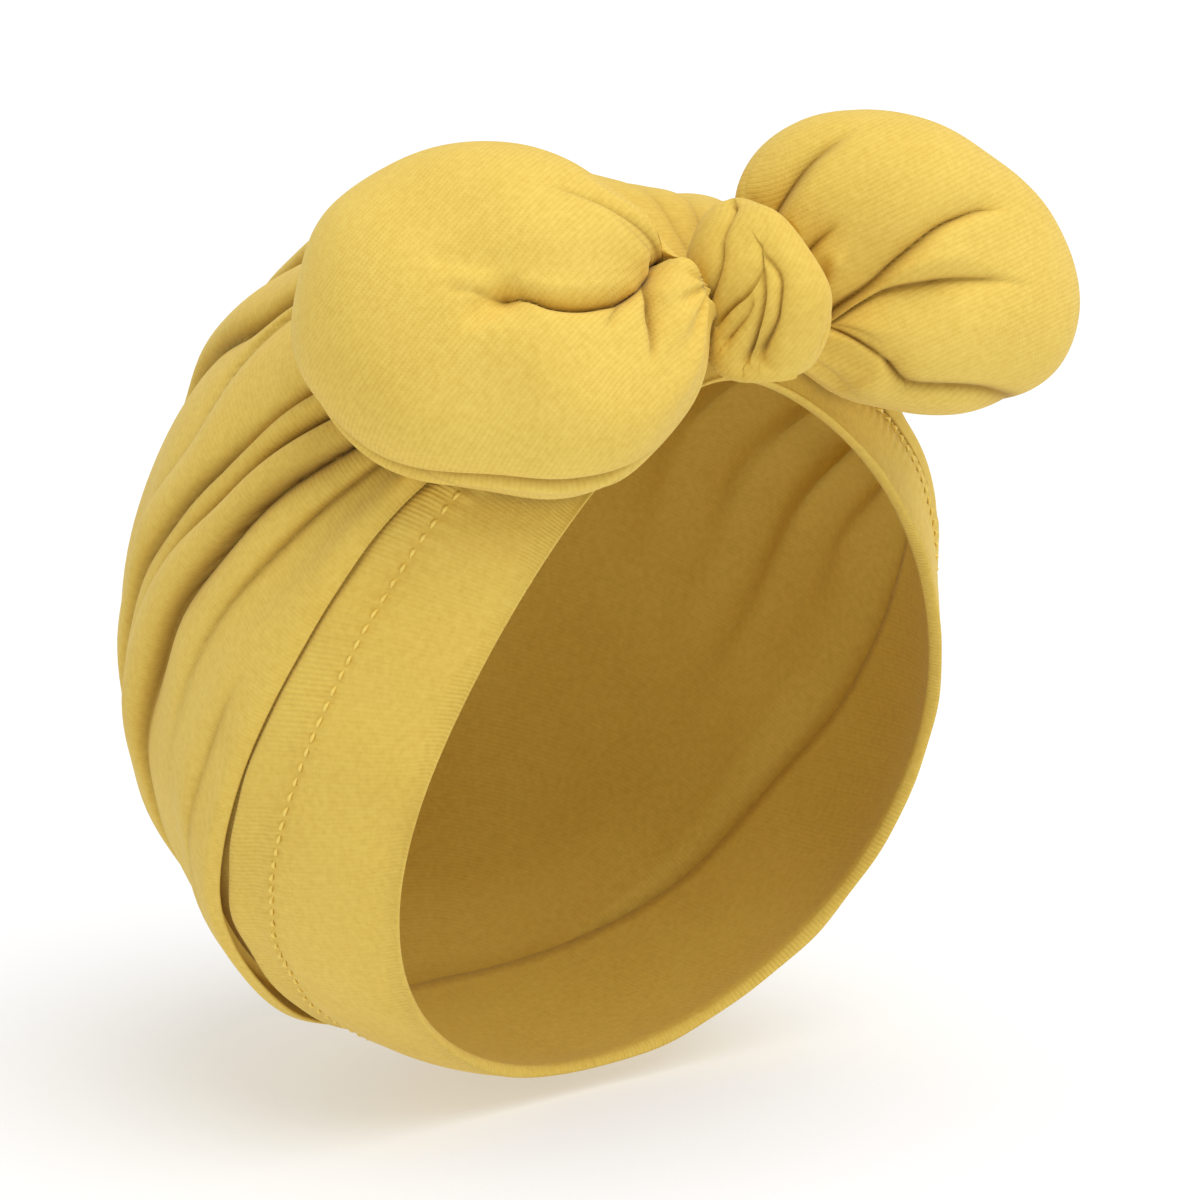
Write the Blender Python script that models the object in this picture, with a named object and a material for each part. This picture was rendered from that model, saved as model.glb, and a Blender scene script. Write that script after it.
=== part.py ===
"""Baby turban hat: a folded jersey crown, a hemmed front band and a stuffed bow tied at the top.

Metres, +Z up, in the pose in which the hat is shown: the face opening looks to -Y and a little down,
the wearer's left is +X. The origin is the centre of the head hollow.
"""
import bmesh
import bpy
import numpy as np

# Outer form of the hat, as half sizes from the centre of the head hollow.
HEAD_SIDE = 0.0709
HEAD_UP = 0.0813
HEAD_DOWN = 0.0705
HEAD_BACK = 0.0750
HEAD_FRONT = 0.0563

# Cloth.
CROWN_WALL = 0.0016
BAND_WALL = 0.0020
COVER_CLEARANCE = 0.0005
SOFT_CLEARANCE = 0.0007

# Face opening: its plane's tilt and distance, and how the rim leaves that plane.
RIM_TILT_DEG = 16.3
RIM_FRONT = 0.0321
RIM_SADDLE = 0.0034
RIM_LIFT = 0.0026
RIM_LIFT_SPREAD_DEG = 22.0
RIM_ROLL = 0.0010

# Band: how far its visible back edge lies behind the rim at the knot and at the nape.
BAND_AT_KNOT = 0.0055
BAND_AT_NAPE = 0.0360
BAND_TUCK_SHARE = 0.055

# Crown: the front fold lies over the band, and everything is gathered towards the knot.
EDGE_SWING_DEG = 4.0
COVER_END_SHARE = 0.070
COVER_FADE_SHARE = 0.150
GATHER_FULL_DEG = 18.0
GATHER_FADE_DEG = 46.0
NAPE_FULL_DEG = 8.0
NAPE_FADE_DEG = 24.0
CROWDING = 0.40
CROWDING_FROM_DEG = 45.0
CROWDING_TO_DEG = 88.0
FOLD_DEPTH = 0.0030
FOLD_START_DEG = 10.0

# One row for each fold of a side, as shares:
# place from the front edge to the centre back, depth, half width, turn at which it has faded.
CROWN_FOLDS = [
    (0.165, 0.45, 0.034, 0.62),
    (0.265, 0.95, 0.026, 0.68),
    (0.325, 0.70, 0.024, 0.64),
    (0.400, 1.00, 0.030, 0.68),
    (0.490, 0.75, 0.034, 0.58),
    (0.585, 0.90, 0.036, 0.54),
    (0.690, 0.65, 0.040, 0.50),
    (0.795, 0.80, 0.042, 0.46),
    (0.905, 0.60, 0.042, 0.42),
]

# Knot: half sizes along the bow, up the wrap and out from the head.
KNOT_HALF_LENGTH = 0.0102
KNOT_HALF_HEIGHT = 0.0150
KNOT_HALF_DEPTH = 0.0122
KNOT_GROOVE = 0.0016
KNOT_SLANT_DEG = 28.0

# One row for each slanting groove of the knot, as shares: place across the wrap, depth, half width.
KNOT_GROOVES = [
    (-0.62, 0.80, 0.12),
    (-0.22, 1.00, 0.10),
    (0.16, 0.90, 0.09),
    (0.52, 0.80, 0.11),
]

# Bow ears: centre from the knot's centre (sideways, back, down), reach, half thickness, facing.
EAR_RIGHT_OUT = 0.0378
EAR_RIGHT_BACK = 0.0155
EAR_RIGHT_DOWN = 0.0030
EAR_RIGHT_REACH = 0.0305
EAR_RIGHT_HALF_THICKNESS = 0.0190
EAR_RIGHT_FACING = (-0.56, -0.71, 0.43)
EAR_LEFT_OUT = 0.0318
EAR_LEFT_BACK = 0.0010
EAR_LEFT_DOWN = 0.0010
EAR_LEFT_REACH = 0.0290
EAR_LEFT_HALF_THICKNESS = 0.0190
EAR_LEFT_FACING = (-0.15, -0.93, 0.33)
EAR_FULLNESS = 0.86
EAR_CREASE_DEPTH = 0.0060
EAR_CREASE_WIDTH_SHARE = 0.13
EAR_NECK_SHARE = 0.45

# Outline of each ear seen from its front: one row per direction from its centre.
# Degrees from straight away from the knot, upwards positive; reach as a share of the ear's reach.
EAR_RIGHT_OUTLINE = [
    (-178, 1.14),
    (-160, 1.04),
    (-142, 0.98),
    (-125, 1.01),
    (-100, 0.97),
    (-72, 0.91),
    (-46, 0.93),
    (-20, 0.98),
    (2, 1.04),
    (27, 1.11),
    (49, 1.03),
    (75, 0.97),
    (100, 0.93),
    (122, 0.88),
    (143, 0.85),
    (162, 0.98),
]
EAR_LEFT_OUTLINE = [
    (-178, 0.90),
    (-160, 0.88),
    (-140, 0.77),
    (-115, 0.78),
    (-95, 0.79),
    (-78, 0.82),
    (-60, 0.92),
    (-41, 1.04),
    (-25, 1.08),
    (-8, 1.06),
    (10, 0.99),
    (30, 0.90),
    (55, 0.84),
    (78, 0.89),
    (100, 0.95),
    (118, 1.02),
    (136, 1.08),
    (152, 1.08),
    (167, 0.97),
]

# Smoothness of the meshes. A fold's front line lies at this share of its half width.
FOLD_LINE_SHARE = 0.8
CROWN_TURNS = 20
BAND_STEPS = 60
BAND_ROWS = 3
EAR_CUTS = 10
KNOT_CUTS = 8

# Repeats that settle a search or a push.
BISECTIONS = 44
PUSHES = 12

JERSEY_COLOUR = (0.62, 0.43, 0.10, 1.0)
BAND_COLOUR = (0.60, 0.41, 0.095, 1.0)
EAR_COLOUR = (0.66, 0.47, 0.12, 1.0)
KNOT_COLOUR = (0.64, 0.45, 0.11, 1.0)
JERSEY_ROUGHNESS = 0.92


def clear_scene():
    """Remove every object of the scene."""
    for scene_object in list(bpy.data.objects):
        bpy.data.objects.remove(scene_object, do_unlink=True)


def smooth_step(low, high, value):
    """Rise from 0 at low to 1 at high without corners."""
    share = np.clip((value - low) / (high - low), 0.0, 1.0)
    return share * share * (3.0 - 2.0 * share)


def unit(vectors):
    """Scale vectors to length 1."""
    vectors = np.asarray(vectors, dtype=float)
    return vectors / np.linalg.norm(vectors, axis=-1, keepdims=True)


def form_radii(points):
    """Half sizes of the form on the side of the centre where each point lies."""
    radii = np.empty_like(points)
    radii[..., 0] = HEAD_SIDE
    radii[..., 1] = np.where(points[..., 1] < 0.0, HEAD_FRONT, HEAD_BACK)
    radii[..., 2] = np.where(points[..., 2] < 0.0, HEAD_DOWN, HEAD_UP)
    return radii


def form_level(points):
    """Return 1 on the form, less inside it and more outside."""
    return np.linalg.norm(points / form_radii(points), axis=-1)


def form_outward(points):
    """Unit vectors straight out from the form."""
    return unit(points / form_radii(points) ** 2)


def ray_to_form(starts, rays):
    """Follow rays from inside the form to its surface."""
    near = np.zeros(starts.shape[:-1])
    far = np.full(starts.shape[:-1], 2.0 * (HEAD_UP + HEAD_DOWN + HEAD_BACK))
    for _ in range(BISECTIONS):
        middle = 0.5 * (near + far)
        outside = form_level(starts + rays * middle[..., None]) > 1.0
        far = np.where(outside, middle, far)
        near = np.where(outside, near, middle)
    return starts + rays * far[..., None]


def opening_axis():
    """Direction in which the face opening looks."""
    tilt = np.radians(RIM_TILT_DEG)
    return np.array([0.0, -np.cos(tilt), -np.sin(tilt)])


def rim_reach(round_angle):
    """Distance of the rim along the opening axis; the angle is 0 at the knot."""
    spread = np.radians(RIM_LIFT_SPREAD_DEG)
    lift = RIM_LIFT * np.exp(-(round_angle / spread) ** 2)
    return RIM_FRONT - RIM_SADDLE * np.cos(2.0 * round_angle) - lift


def behind_rim(round_angle, back):
    """Point on the form at an angle round the opening, some way behind the rim."""
    round_angle = np.asarray(round_angle, dtype=float)
    goal = rim_reach(round_angle) - back
    axis = opening_axis()
    low = np.zeros_like(goal)
    high = np.full_like(goal, np.pi)

    def at(open_angle):
        side = HEAD_SIDE * np.sin(open_angle) * np.sin(round_angle)
        rise = np.sin(open_angle) * np.cos(round_angle)
        rise = rise * np.where(rise < 0.0, HEAD_DOWN, HEAD_UP)
        depth = -np.cos(open_angle)
        depth = depth * np.where(depth < 0.0, HEAD_FRONT, HEAD_BACK)
        return np.stack([side, depth, rise], axis=-1)

    for _ in range(BISECTIONS):
        middle = 0.5 * (low + high)
        too_far = at(middle) @ axis > goal
        low = np.where(too_far, middle, low)
        high = np.where(too_far, high, middle)
    return at(0.5 * (low + high))


def fold_poles():
    """Points between which the crown's folds run: under the knot and at the nape."""
    top = behind_rim(0.0, BAND_AT_KNOT)
    nape = behind_rim(np.pi, BAND_AT_NAPE)
    return top, nape


def crown_base(share, turn_deg, side):
    """Crown point without folds: share from the front edge (0) to the centre back (1)."""
    top, nape = fold_poles()
    middle = 0.5 * (top + nape)
    down = unit(nape - top)
    back = unit(np.cross([1.0, 0.0, 0.0], down))
    back = back * np.sign(back[1])
    share, turn_deg = np.broadcast_arrays(share, turn_deg)
    crowding = 1.0 + CROWDING * (1.0 - smooth_step(CROWDING_FROM_DEG, CROWDING_TO_DEG, turn_deg))
    quarter = 90.0 + EDGE_SWING_DEG
    swing = np.radians(share ** crowding * quarter - EDGE_SWING_DEG)[..., None]
    turn = np.radians(turn_deg)[..., None]
    sideways = np.array([side, 0.0, 0.0]) * np.cos(swing) + back * np.sin(swing)
    rays = sideways * np.sin(turn) - down * np.cos(turn)
    return ray_to_form(np.broadcast_to(middle, rays.shape), rays)


def crown_cover(share, turn_deg):
    """How far the crown is raised to pass over the band: 1 at the front edge and at both poles."""
    at_edge = 1.0 - smooth_step(COVER_END_SHARE, COVER_FADE_SHARE, share)
    at_knot = 1.0 - smooth_step(GATHER_FULL_DEG, GATHER_FADE_DEG, turn_deg)
    at_nape = smooth_step(180.0 - NAPE_FADE_DEG, 180.0 - NAPE_FULL_DEG, turn_deg)
    return np.maximum(np.maximum(at_edge, at_knot), at_nape)


def crown_folds(share, turn_deg):
    """Depth of the folds below the crown's smooth surface."""
    depth = np.zeros(np.broadcast(share, turn_deg).shape)
    started = smooth_step(0.3 * FOLD_START_DEG, FOLD_START_DEG, turn_deg)
    for place, fold_depth, half_width, fade in CROWN_FOLDS:
        faded = 1.0 - smooth_step(0.6 * fade, 1.15 * fade, turn_deg / 180.0)
        valley = np.exp(-((share - place) / half_width) ** 2)
        depth = depth + FOLD_DEPTH * fold_depth * faded * valley
    return depth * started


def crown_points(share, turn_deg, side):
    """Outer and inner points of the crown's wall."""
    base = crown_base(share, turn_deg, side)
    outward = form_outward(base)
    lift = (COVER_CLEARANCE + CROWN_WALL) * crown_cover(share, turn_deg)
    height = lift - crown_folds(share, turn_deg)
    outer = base + outward * height[..., None]
    inner = outer - outward * CROWN_WALL
    return outer, inner


def crown_columns():
    """Shares of a side at which the crown's mesh has a line: its edges, valleys and ridges."""
    columns = [0.0, 0.5 * BAND_TUCK_SHARE, COVER_END_SHARE, 0.5 * (COVER_END_SHARE + COVER_FADE_SHARE)]
    places = [fold[0] for fold in CROWN_FOLDS]
    for index, place in enumerate(places):
        columns.extend([place - FOLD_LINE_SHARE * CROWN_FOLDS[index][2], place])
        following = 1.0
        if index + 1 < len(places):
            following = places[index + 1] - FOLD_LINE_SHARE * CROWN_FOLDS[index + 1][2]
        columns.append(0.5 * (place + following))
    columns.append(1.0)
    return sorted(columns)


def crown_mesh():
    """Both layers of the crown, closed at its front fold and at the two poles."""
    shares = np.array(crown_columns())
    turns = 180.0 * np.arange(1, CROWN_TURNS) / CROWN_TURNS
    share_grid, turn_grid = np.meshgrid(shares, turns)
    right_outer, right_inner = crown_points(share_grid, turn_grid, -1.0)
    left_outer, left_inner = crown_points(share_grid, turn_grid, 1.0)
    outer = np.concatenate([right_outer, left_outer[:, -2::-1]], axis=1)
    inner = np.concatenate([right_inner, left_inner[:, -2::-1]], axis=1)
    axis = opening_axis()
    front_right = 0.5 * (outer[:, 0] + inner[:, 0]) + axis * CROWN_WALL * 0.5
    front_left = 0.5 * (outer[:, -1] + inner[:, -1]) + axis * CROWN_WALL * 0.5

    mesh = bmesh.new()

    def vertices(points):
        return [[mesh.verts.new(point) for point in row] for row in points]

    outer_rows = vertices(outer)
    inner_rows = vertices(inner)
    right_edge, left_edge = vertices([front_right, front_left])
    for row in range(len(turns) - 1):
        for column in range(outer.shape[1] - 1):
            for layer in (outer_rows, inner_rows):
                corners = (layer[row][column], layer[row][column + 1])
                mesh.faces.new(corners + (layer[row + 1][column + 1], layer[row + 1][column]))
        for edge, column in ((right_edge, 0), (left_edge, -1)):
            for layer in (outer_rows, inner_rows):
                mesh.faces.new((edge[row], edge[row + 1], layer[row + 1][column], layer[row][column]))
    for row, turn in ((0, 0.0), (-1, 180.0)):
        pole_outer, pole_inner = crown_points(np.array([0.5]), np.array([turn]), 1.0)
        pole_pair = (mesh.verts.new(pole_outer[0]), mesh.verts.new(pole_inner[0]))
        for pole, layer in zip(pole_pair, (outer_rows, inner_rows)):
            for column in range(outer.shape[1] - 1):
                mesh.faces.new((pole, layer[row][column], layer[row][column + 1]))
        for edge, column in ((right_edge, 0), (left_edge, -1)):
            ring = (outer_rows[row][column], edge[row], inner_rows[row][column])
            mesh.faces.new((pole_pair[0],) + ring + (pole_pair[1],))
    return mesh


def band_back_edge(round_angle):
    """How far the band's hidden back edge lies behind the rim, all round."""
    turns = np.linspace(0.0, 180.0, 181)
    line = crown_base(np.full_like(turns, BAND_TUCK_SHARE), turns, 1.0)
    radii = form_radii(line)
    line_angle = np.abs(np.arctan2(line[:, 0] / radii[:, 0], line[:, 2] / radii[:, 2]))
    line_back = rim_reach(line_angle) - line @ opening_axis()
    order = np.argsort(line_angle)
    return np.interp(np.abs(round_angle), line_angle[order], line_back[order])


def band_mesh():
    """The hemmed strip round the face opening, with a rolled rim."""
    angles = -np.pi + 2.0 * np.pi * np.arange(BAND_STEPS) / BAND_STEPS
    back_edge = band_back_edge(angles)
    across = []
    for row in range(BAND_ROWS + 1):
        across.append(behind_rim(angles, back_edge * row / BAND_ROWS))
    outer = np.array(across)
    outward = form_outward(outer)
    inner = outer - outward * BAND_WALL
    roll = 0.5 * (outer[0] + inner[0]) + opening_axis() * RIM_ROLL
    section = np.concatenate([outer, inner[::-1], roll[None]])

    mesh = bmesh.new()
    rows = [[mesh.verts.new(point) for point in line] for line in section]
    for row in range(len(rows)):
        following = (row + 1) % len(rows)
        for step in range(BAND_STEPS):
            near = (rows[row][step], rows[row][(step + 1) % BAND_STEPS])
            mesh.faces.new(near + (rows[following][(step + 1) % BAND_STEPS], rows[following][step]))
    return mesh


def knot_frame():
    """Centre of the knot, and its directions along the bow, up the wrap and out from the head."""
    top, _ = fold_poles()
    out = form_outward(top)
    seat = COVER_CLEARANCE + CROWN_WALL + SOFT_CLEARANCE
    along = np.array([1.0, 0.0, 0.0])
    up = np.cross(out, along)
    up = up * np.sign(up[2])
    return top + out * (seat + KNOT_HALF_DEPTH), np.array([along, up, out])


def keep_off_form(points):
    """Push points out until they clear the crown's highest surface."""
    clear = COVER_CLEARANCE + CROWN_WALL + SOFT_CLEARANCE
    for _ in range(3):
        level = form_level(points)
        slope = np.linalg.norm(points / form_radii(points) ** 2, axis=-1) / level
        height = (level - 1.0) / slope
        push = np.maximum(clear - height, 0.0)
        points = points + form_outward(points) * push[..., None]
    return points


def keep_off_knot(points):
    """Push points out until they clear the knot's full shape."""
    centre, frame = knot_frame()
    sizes = np.array([KNOT_HALF_LENGTH, KNOT_HALF_HEIGHT, KNOT_HALF_DEPTH]) + SOFT_CLEARANCE
    local = (points - centre) @ frame.T
    level = np.linalg.norm(local / sizes, axis=-1)
    return centre + (local / np.minimum(level, 1.0)[..., None]) @ frame


def keep_off_both(points):
    """Push points out of the crown and the knot in turn until they clear both."""
    for _ in range(PUSHES):
        points = keep_off_knot(keep_off_form(points))
    return points


def ball_mesh(cuts):
    """A cube cut into a grid and blown up to a unit ball."""
    mesh = bmesh.new()
    bmesh.ops.create_cube(mesh, size=2.0)
    bmesh.ops.subdivide_edges(mesh, edges=mesh.edges[:], cuts=cuts, use_grid_fill=True)
    for vertex in mesh.verts:
        vertex.co = np.tan(0.25 * np.pi * np.array(vertex.co))
        vertex.co.normalize()
    return mesh


def reshape(mesh, shape):
    """Move a unit ball's vertices to where a shape function puts their directions."""
    directions = np.array([vertex.co[:] for vertex in mesh.verts])
    for vertex, point in zip(mesh.verts, shape(directions)):
        vertex.co = point
    return mesh


def knot_points(directions):
    """Surface of the knot: a wrapped egg with slanting grooves on its front."""
    centre, frame = knot_frame()
    slant = np.radians(KNOT_SLANT_DEG)
    across = directions[:, 0] * np.cos(slant) - directions[:, 1] * np.sin(slant)
    depth = np.zeros(len(directions))
    for place, groove_depth, half_width in KNOT_GROOVES:
        depth = depth + KNOT_GROOVE * groove_depth * np.exp(-((across - place) / half_width) ** 2)
    depth = depth * smooth_step(-0.3, 0.3, directions[:, 2])
    sizes = np.array([KNOT_HALF_LENGTH, KNOT_HALF_HEIGHT, KNOT_HALF_DEPTH])
    local = directions * (sizes - depth[:, None])
    return keep_off_form(centre + local @ frame)


def outline_reach(outline, angle_deg):
    """Read an ear's outline table at any angle, with smooth joins."""
    angles = np.array([row[0] for row in outline], dtype=float)
    reaches = np.array([row[1] for row in outline])
    angles = np.concatenate([angles - 360.0, angles, angles + 360.0])
    reaches = np.tile(reaches, 3)
    slopes = np.gradient(reaches, angles)
    index = np.clip(np.searchsorted(angles, angle_deg) - 1, 0, len(angles) - 2)
    step = angles[index + 1] - angles[index]
    share = (angle_deg - angles[index]) / step
    start = (1.0 + 2.0 * share) * (1.0 - share) ** 2 * reaches[index]
    start = start + share * (1.0 - share) ** 2 * step * slopes[index]
    end = share ** 2 * (3.0 - 2.0 * share) * reaches[index + 1]
    return start + end + share ** 2 * (share - 1.0) * step * slopes[index + 1]


def ear_frame(offset, facing):
    """Centre of an ear, and its directions away from the knot, up and to its front."""
    knot_centre, _ = knot_frame()
    centre = knot_centre + np.array(offset)
    front = unit(facing)
    away = np.array(offset) - front * np.dot(offset, front)
    away = unit(away)
    up = np.cross(front, away)
    up = up * np.sign(up[2])
    return centre, np.array([away, up, front])


def ear_points(directions, offset, facing, reach, half_thickness, outline):
    """Surface of a stuffed ear: a full pillow, pinched towards the knot and creased to its middle."""
    centre, frame = ear_frame(offset, facing)
    angle = np.degrees(np.arctan2(directions[:, 1], directions[:, 0]))
    spread = np.hypot(directions[:, 0], directions[:, 1])
    full_spread = spread ** EAR_FULLNESS
    planar = directions[:, :2] / np.maximum(spread, 1e-9)[:, None] * full_spread[:, None]
    at_knot = smooth_step(0.0, 1.0, -planar[:, 0]) * np.exp(-(planar[:, 1] / 0.5) ** 2)
    swell = np.sign(directions[:, 2]) * np.abs(directions[:, 2]) ** EAR_FULLNESS
    thickness = half_thickness * swell * (1.0 - EAR_NECK_SHARE * at_knot)
    along_crease = smooth_step(0.12, -0.35, planar[:, 0])
    crease = np.exp(-(planar[:, 1] / EAR_CREASE_WIDTH_SHARE) ** 2) * along_crease
    thickness = thickness - EAR_CREASE_DEPTH * crease * smooth_step(0.0, 0.5, directions[:, 2])
    flat = planar * (reach * outline_reach(outline, angle))[:, None]
    local = np.concatenate([flat, thickness[:, None]], axis=1)
    return keep_off_both(centre + local @ frame)


def jersey(name, colour):
    """Cotton jersey of one colour."""
    material = bpy.data.materials.new(name)
    material.use_nodes = True
    shader = material.node_tree.nodes["Principled BSDF"]
    shader.inputs["Base Color"].default_value = colour
    shader.inputs["Roughness"].default_value = JERSEY_ROUGHNESS
    shader.inputs["Metallic"].default_value = 0.0
    material.diffuse_color = colour
    return material


def add_piece(name, mesh, origin, material, parent):
    """Make an object of a bmesh, with its origin at a given place."""
    for vertex in mesh.verts:
        vertex.co = np.array(vertex.co) - origin
    bmesh.ops.recalc_face_normals(mesh, faces=mesh.faces[:])
    data = bpy.data.meshes.new(name)
    mesh.to_mesh(data)
    mesh.free()
    data.shade_smooth()
    data.materials.append(material)
    piece = bpy.data.objects.new(name, data)
    piece.location = origin
    piece.parent = parent
    bpy.context.collection.objects.link(piece)
    return piece


def add_knot(parent):
    """The knot at the top of the face opening."""
    centre, _ = knot_frame()
    mesh = reshape(ball_mesh(KNOT_CUTS), knot_points)
    add_piece("knot", mesh, centre, jersey("knot_jersey", KNOT_COLOUR), parent)


def add_ear(name, offset, facing, reach, half_thickness, outline, material, parent):
    """One stuffed ear of the bow."""
    centre, _ = ear_frame(offset, facing)

    def shape(directions):
        return ear_points(directions, offset, facing, reach, half_thickness, outline)

    add_piece(name, reshape(ball_mesh(EAR_CUTS), shape), centre, material, parent)


def build():
    """Build the hat."""
    clear_scene()
    hat = bpy.data.objects.new("turban_hat", None)
    bpy.context.collection.objects.link(hat)
    middle = np.zeros(3)
    add_piece("crown", crown_mesh(), middle, jersey("crown_jersey", JERSEY_COLOUR), hat)
    add_piece("front_band", band_mesh(), middle, jersey("band_jersey", BAND_COLOUR), hat)
    add_knot(hat)
    ear_material = jersey("ear_jersey", EAR_COLOUR)
    right_offset = (-EAR_RIGHT_OUT, EAR_RIGHT_BACK, -EAR_RIGHT_DOWN)
    add_ear("bow_ear_right", right_offset, EAR_RIGHT_FACING, EAR_RIGHT_REACH,
            EAR_RIGHT_HALF_THICKNESS, EAR_RIGHT_OUTLINE, ear_material, hat)
    left_offset = (EAR_LEFT_OUT, EAR_LEFT_BACK, -EAR_LEFT_DOWN)
    add_ear("bow_ear_left", left_offset, EAR_LEFT_FACING, EAR_LEFT_REACH,
            EAR_LEFT_HALF_THICKNESS, EAR_LEFT_OUTLINE, ear_material, hat)


build()
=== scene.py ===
"""Dressed model of a baby turban hat: a folded jersey crown, a hemmed band and a stuffed bow.

Metres, +Z up, the face opening looks to -Y and a little down, and +X is the wearer's left.
"""

import bpy
import numpy as np
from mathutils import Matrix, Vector


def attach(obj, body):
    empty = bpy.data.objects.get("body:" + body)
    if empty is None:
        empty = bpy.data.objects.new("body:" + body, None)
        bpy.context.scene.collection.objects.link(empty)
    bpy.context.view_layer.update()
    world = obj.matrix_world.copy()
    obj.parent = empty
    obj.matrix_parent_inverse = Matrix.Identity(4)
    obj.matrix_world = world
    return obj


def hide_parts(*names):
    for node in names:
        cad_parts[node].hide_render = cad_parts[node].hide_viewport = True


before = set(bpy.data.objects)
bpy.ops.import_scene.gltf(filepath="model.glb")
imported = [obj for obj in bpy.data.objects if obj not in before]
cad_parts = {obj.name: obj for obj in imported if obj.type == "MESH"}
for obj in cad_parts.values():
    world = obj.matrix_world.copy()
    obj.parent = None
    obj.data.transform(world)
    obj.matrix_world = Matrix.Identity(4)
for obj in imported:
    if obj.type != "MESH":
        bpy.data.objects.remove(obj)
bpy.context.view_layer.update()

# Camera.
CAMERA_TARGET = (0.00708, -0.00339, 0.00919)
CAMERA_PLACE = (-0.55879, -0.67776, 0.19632)
CAMERA_LENS = 162.0
SENSOR = 36.0
NEAR_CLIP = 0.01

# Light and floor.
WORLD_COLOUR = (1.0, 0.995, 0.985, 1.0)
WORLD_STRENGTH = 0.61
KEY_COLOUR = (1.0, 0.985, 0.955)
KEY_STRENGTH = 1.95
KEY_WIDTH_DEG = 62.0
KEY_DIRECTION = (0.08, -0.44, 1.0)
FLOOR_SIZE = 6.0
FLOOR_HEIGHT = -0.0735
FLOOR_SURFACE = {
    "Base Color": (0.565, 0.58, 0.61, 1.0),
    "Roughness": 0.75,
    "Emission Color": (1.0, 0.99, 0.98, 1.0),
    "Emission Strength": 0.40,
}

# Outer form of the hat, as in the CAD: half sizes from the centre of the head hollow.
HEAD_SIDE = 0.0709
HEAD_UP = 0.0813
HEAD_DOWN = 0.0705
HEAD_BACK = 0.0750
HEAD_FRONT = 0.0563
CROWN_WALL = 0.0016
BAND_WALL = 0.0020
COVER_CLEARANCE = 0.0005
SOFT_CLEARANCE = 0.0007

# Face opening.
RIM_TILT_DEG = 16.3
RIM_FRONT = 0.0321
RIM_SADDLE = 0.0034
RIM_LIFT = 0.0026
RIM_LIFT_SPREAD_DEG = 22.0
RIM_ROLL = 0.0010
BAND_AT_KNOT = 0.0055
BAND_AT_NAPE = 0.0360

# Crown.
EDGE_SWING_DEG = 4.0
COVER_END_SHARE = 0.070
COVER_FADE_SHARE = 0.150
GATHER_FULL_DEG = 18.0
GATHER_FADE_DEG = 46.0
NAPE_FULL_DEG = 8.0
NAPE_FADE_DEG = 24.0
CROWDING = 0.40
CROWDING_FROM_DEG = 45.0
CROWDING_TO_DEG = 88.0
EDGE_DIP = 0.0010
EDGE_DIP_WIDTH = 0.0011
EDGE_FLARE = 0.0018
EDGE_FLARE_WIDTH = 0.0055
EDGE_FLARE_TURNS = (88.0, 120.0, 142.0, 168.0)
RELIEF_FULL_BEHIND = 0.006
LEAN_FULL_BEHIND = 0.010
LEAN_SINE_MIN = 0.15
# Painted shade along the crown's creases fades in between these distances behind its front fold.
PAINTED_SHADE_BEHIND = (0.001, 0.005)
CROWN_UNEVEN = 0.0004
CROWN_UNEVEN_LENGTH = 0.024

# How far the crown's front fold lies behind its CAD line, in degrees of swing, down each side.
EDGE_TURNS = [0, 20, 45, 55, 62, 70, 94, 105, 117, 124, 139, 160, 180]
EDGE_BACK_RIGHT = [0, 1.8, 3.4, 3.0, 2.2, 1.5, 1.0, 1.0, 1.1, 0.2, -2.8, -2, 0]
EDGE_BACK_LEFT = [0, -3, -5, -4, -3, -1.5, 0, 0, 1.0, 0.5, -2, -2, 0]

# Creases of the crown. Each row: depth, share of the roll's steep side, how long the roll holds its
# height (higher holds longer), turns at which it starts and has faded, then its place, as a share
# from the front fold to the centre back, at each of these turns.
CREASE_TURNS = [5, 30, 50, 60, 70, 82, 95, 130]
CREASES_RIGHT = [
    (0.0018, 0.30, 2.2, 84, 140, (0.06, 0.06, 0.060, 0.060, 0.060, 0.062, 0.070, 0.08)),
    (0.0026, 0.20, 2.2, 0, 110, (0.10, 0.15, 0.185, 0.192, 0.182, 0.168, 0.160, 0.16)),
    (0.0048, 0.09, 2.2, 0, 136, (0.19, 0.22, 0.270, 0.284, 0.276, 0.268, 0.268, 0.27)),
    (0.0040, 0.42, 9.0, 0, 98, (0.24, 0.29, 0.345, 0.352, 0.345, 0.340, 0.345, 0.35)),
    (0.0036, 0.10, 2.2, 0, 122, (0.30, 0.36, 0.405, 0.406, 0.396, 0.384, 0.400, 0.41)),
    (0.0014, 0.25, 2.2, 0, 108, (0.42, 0.52, 0.610, 0.575, 0.490, 0.462, 0.470, 0.48)),
    (0.0034, 0.10, 2.2, 0, 106, (0.55, 0.62, 0.645, 0.650, 0.680, 0.690, 0.700, 0.71)),
    (0.0028, 0.12, 2.2, 0, 98, (0.74, 0.76, 0.780, 0.790, 0.800, 0.800, 0.805, 0.81)),
    (0.0024, 0.14, 2.2, 0, 94, (0.89, 0.90, 0.905, 0.910, 0.910, 0.905, 0.900, 0.90)),
]
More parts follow.
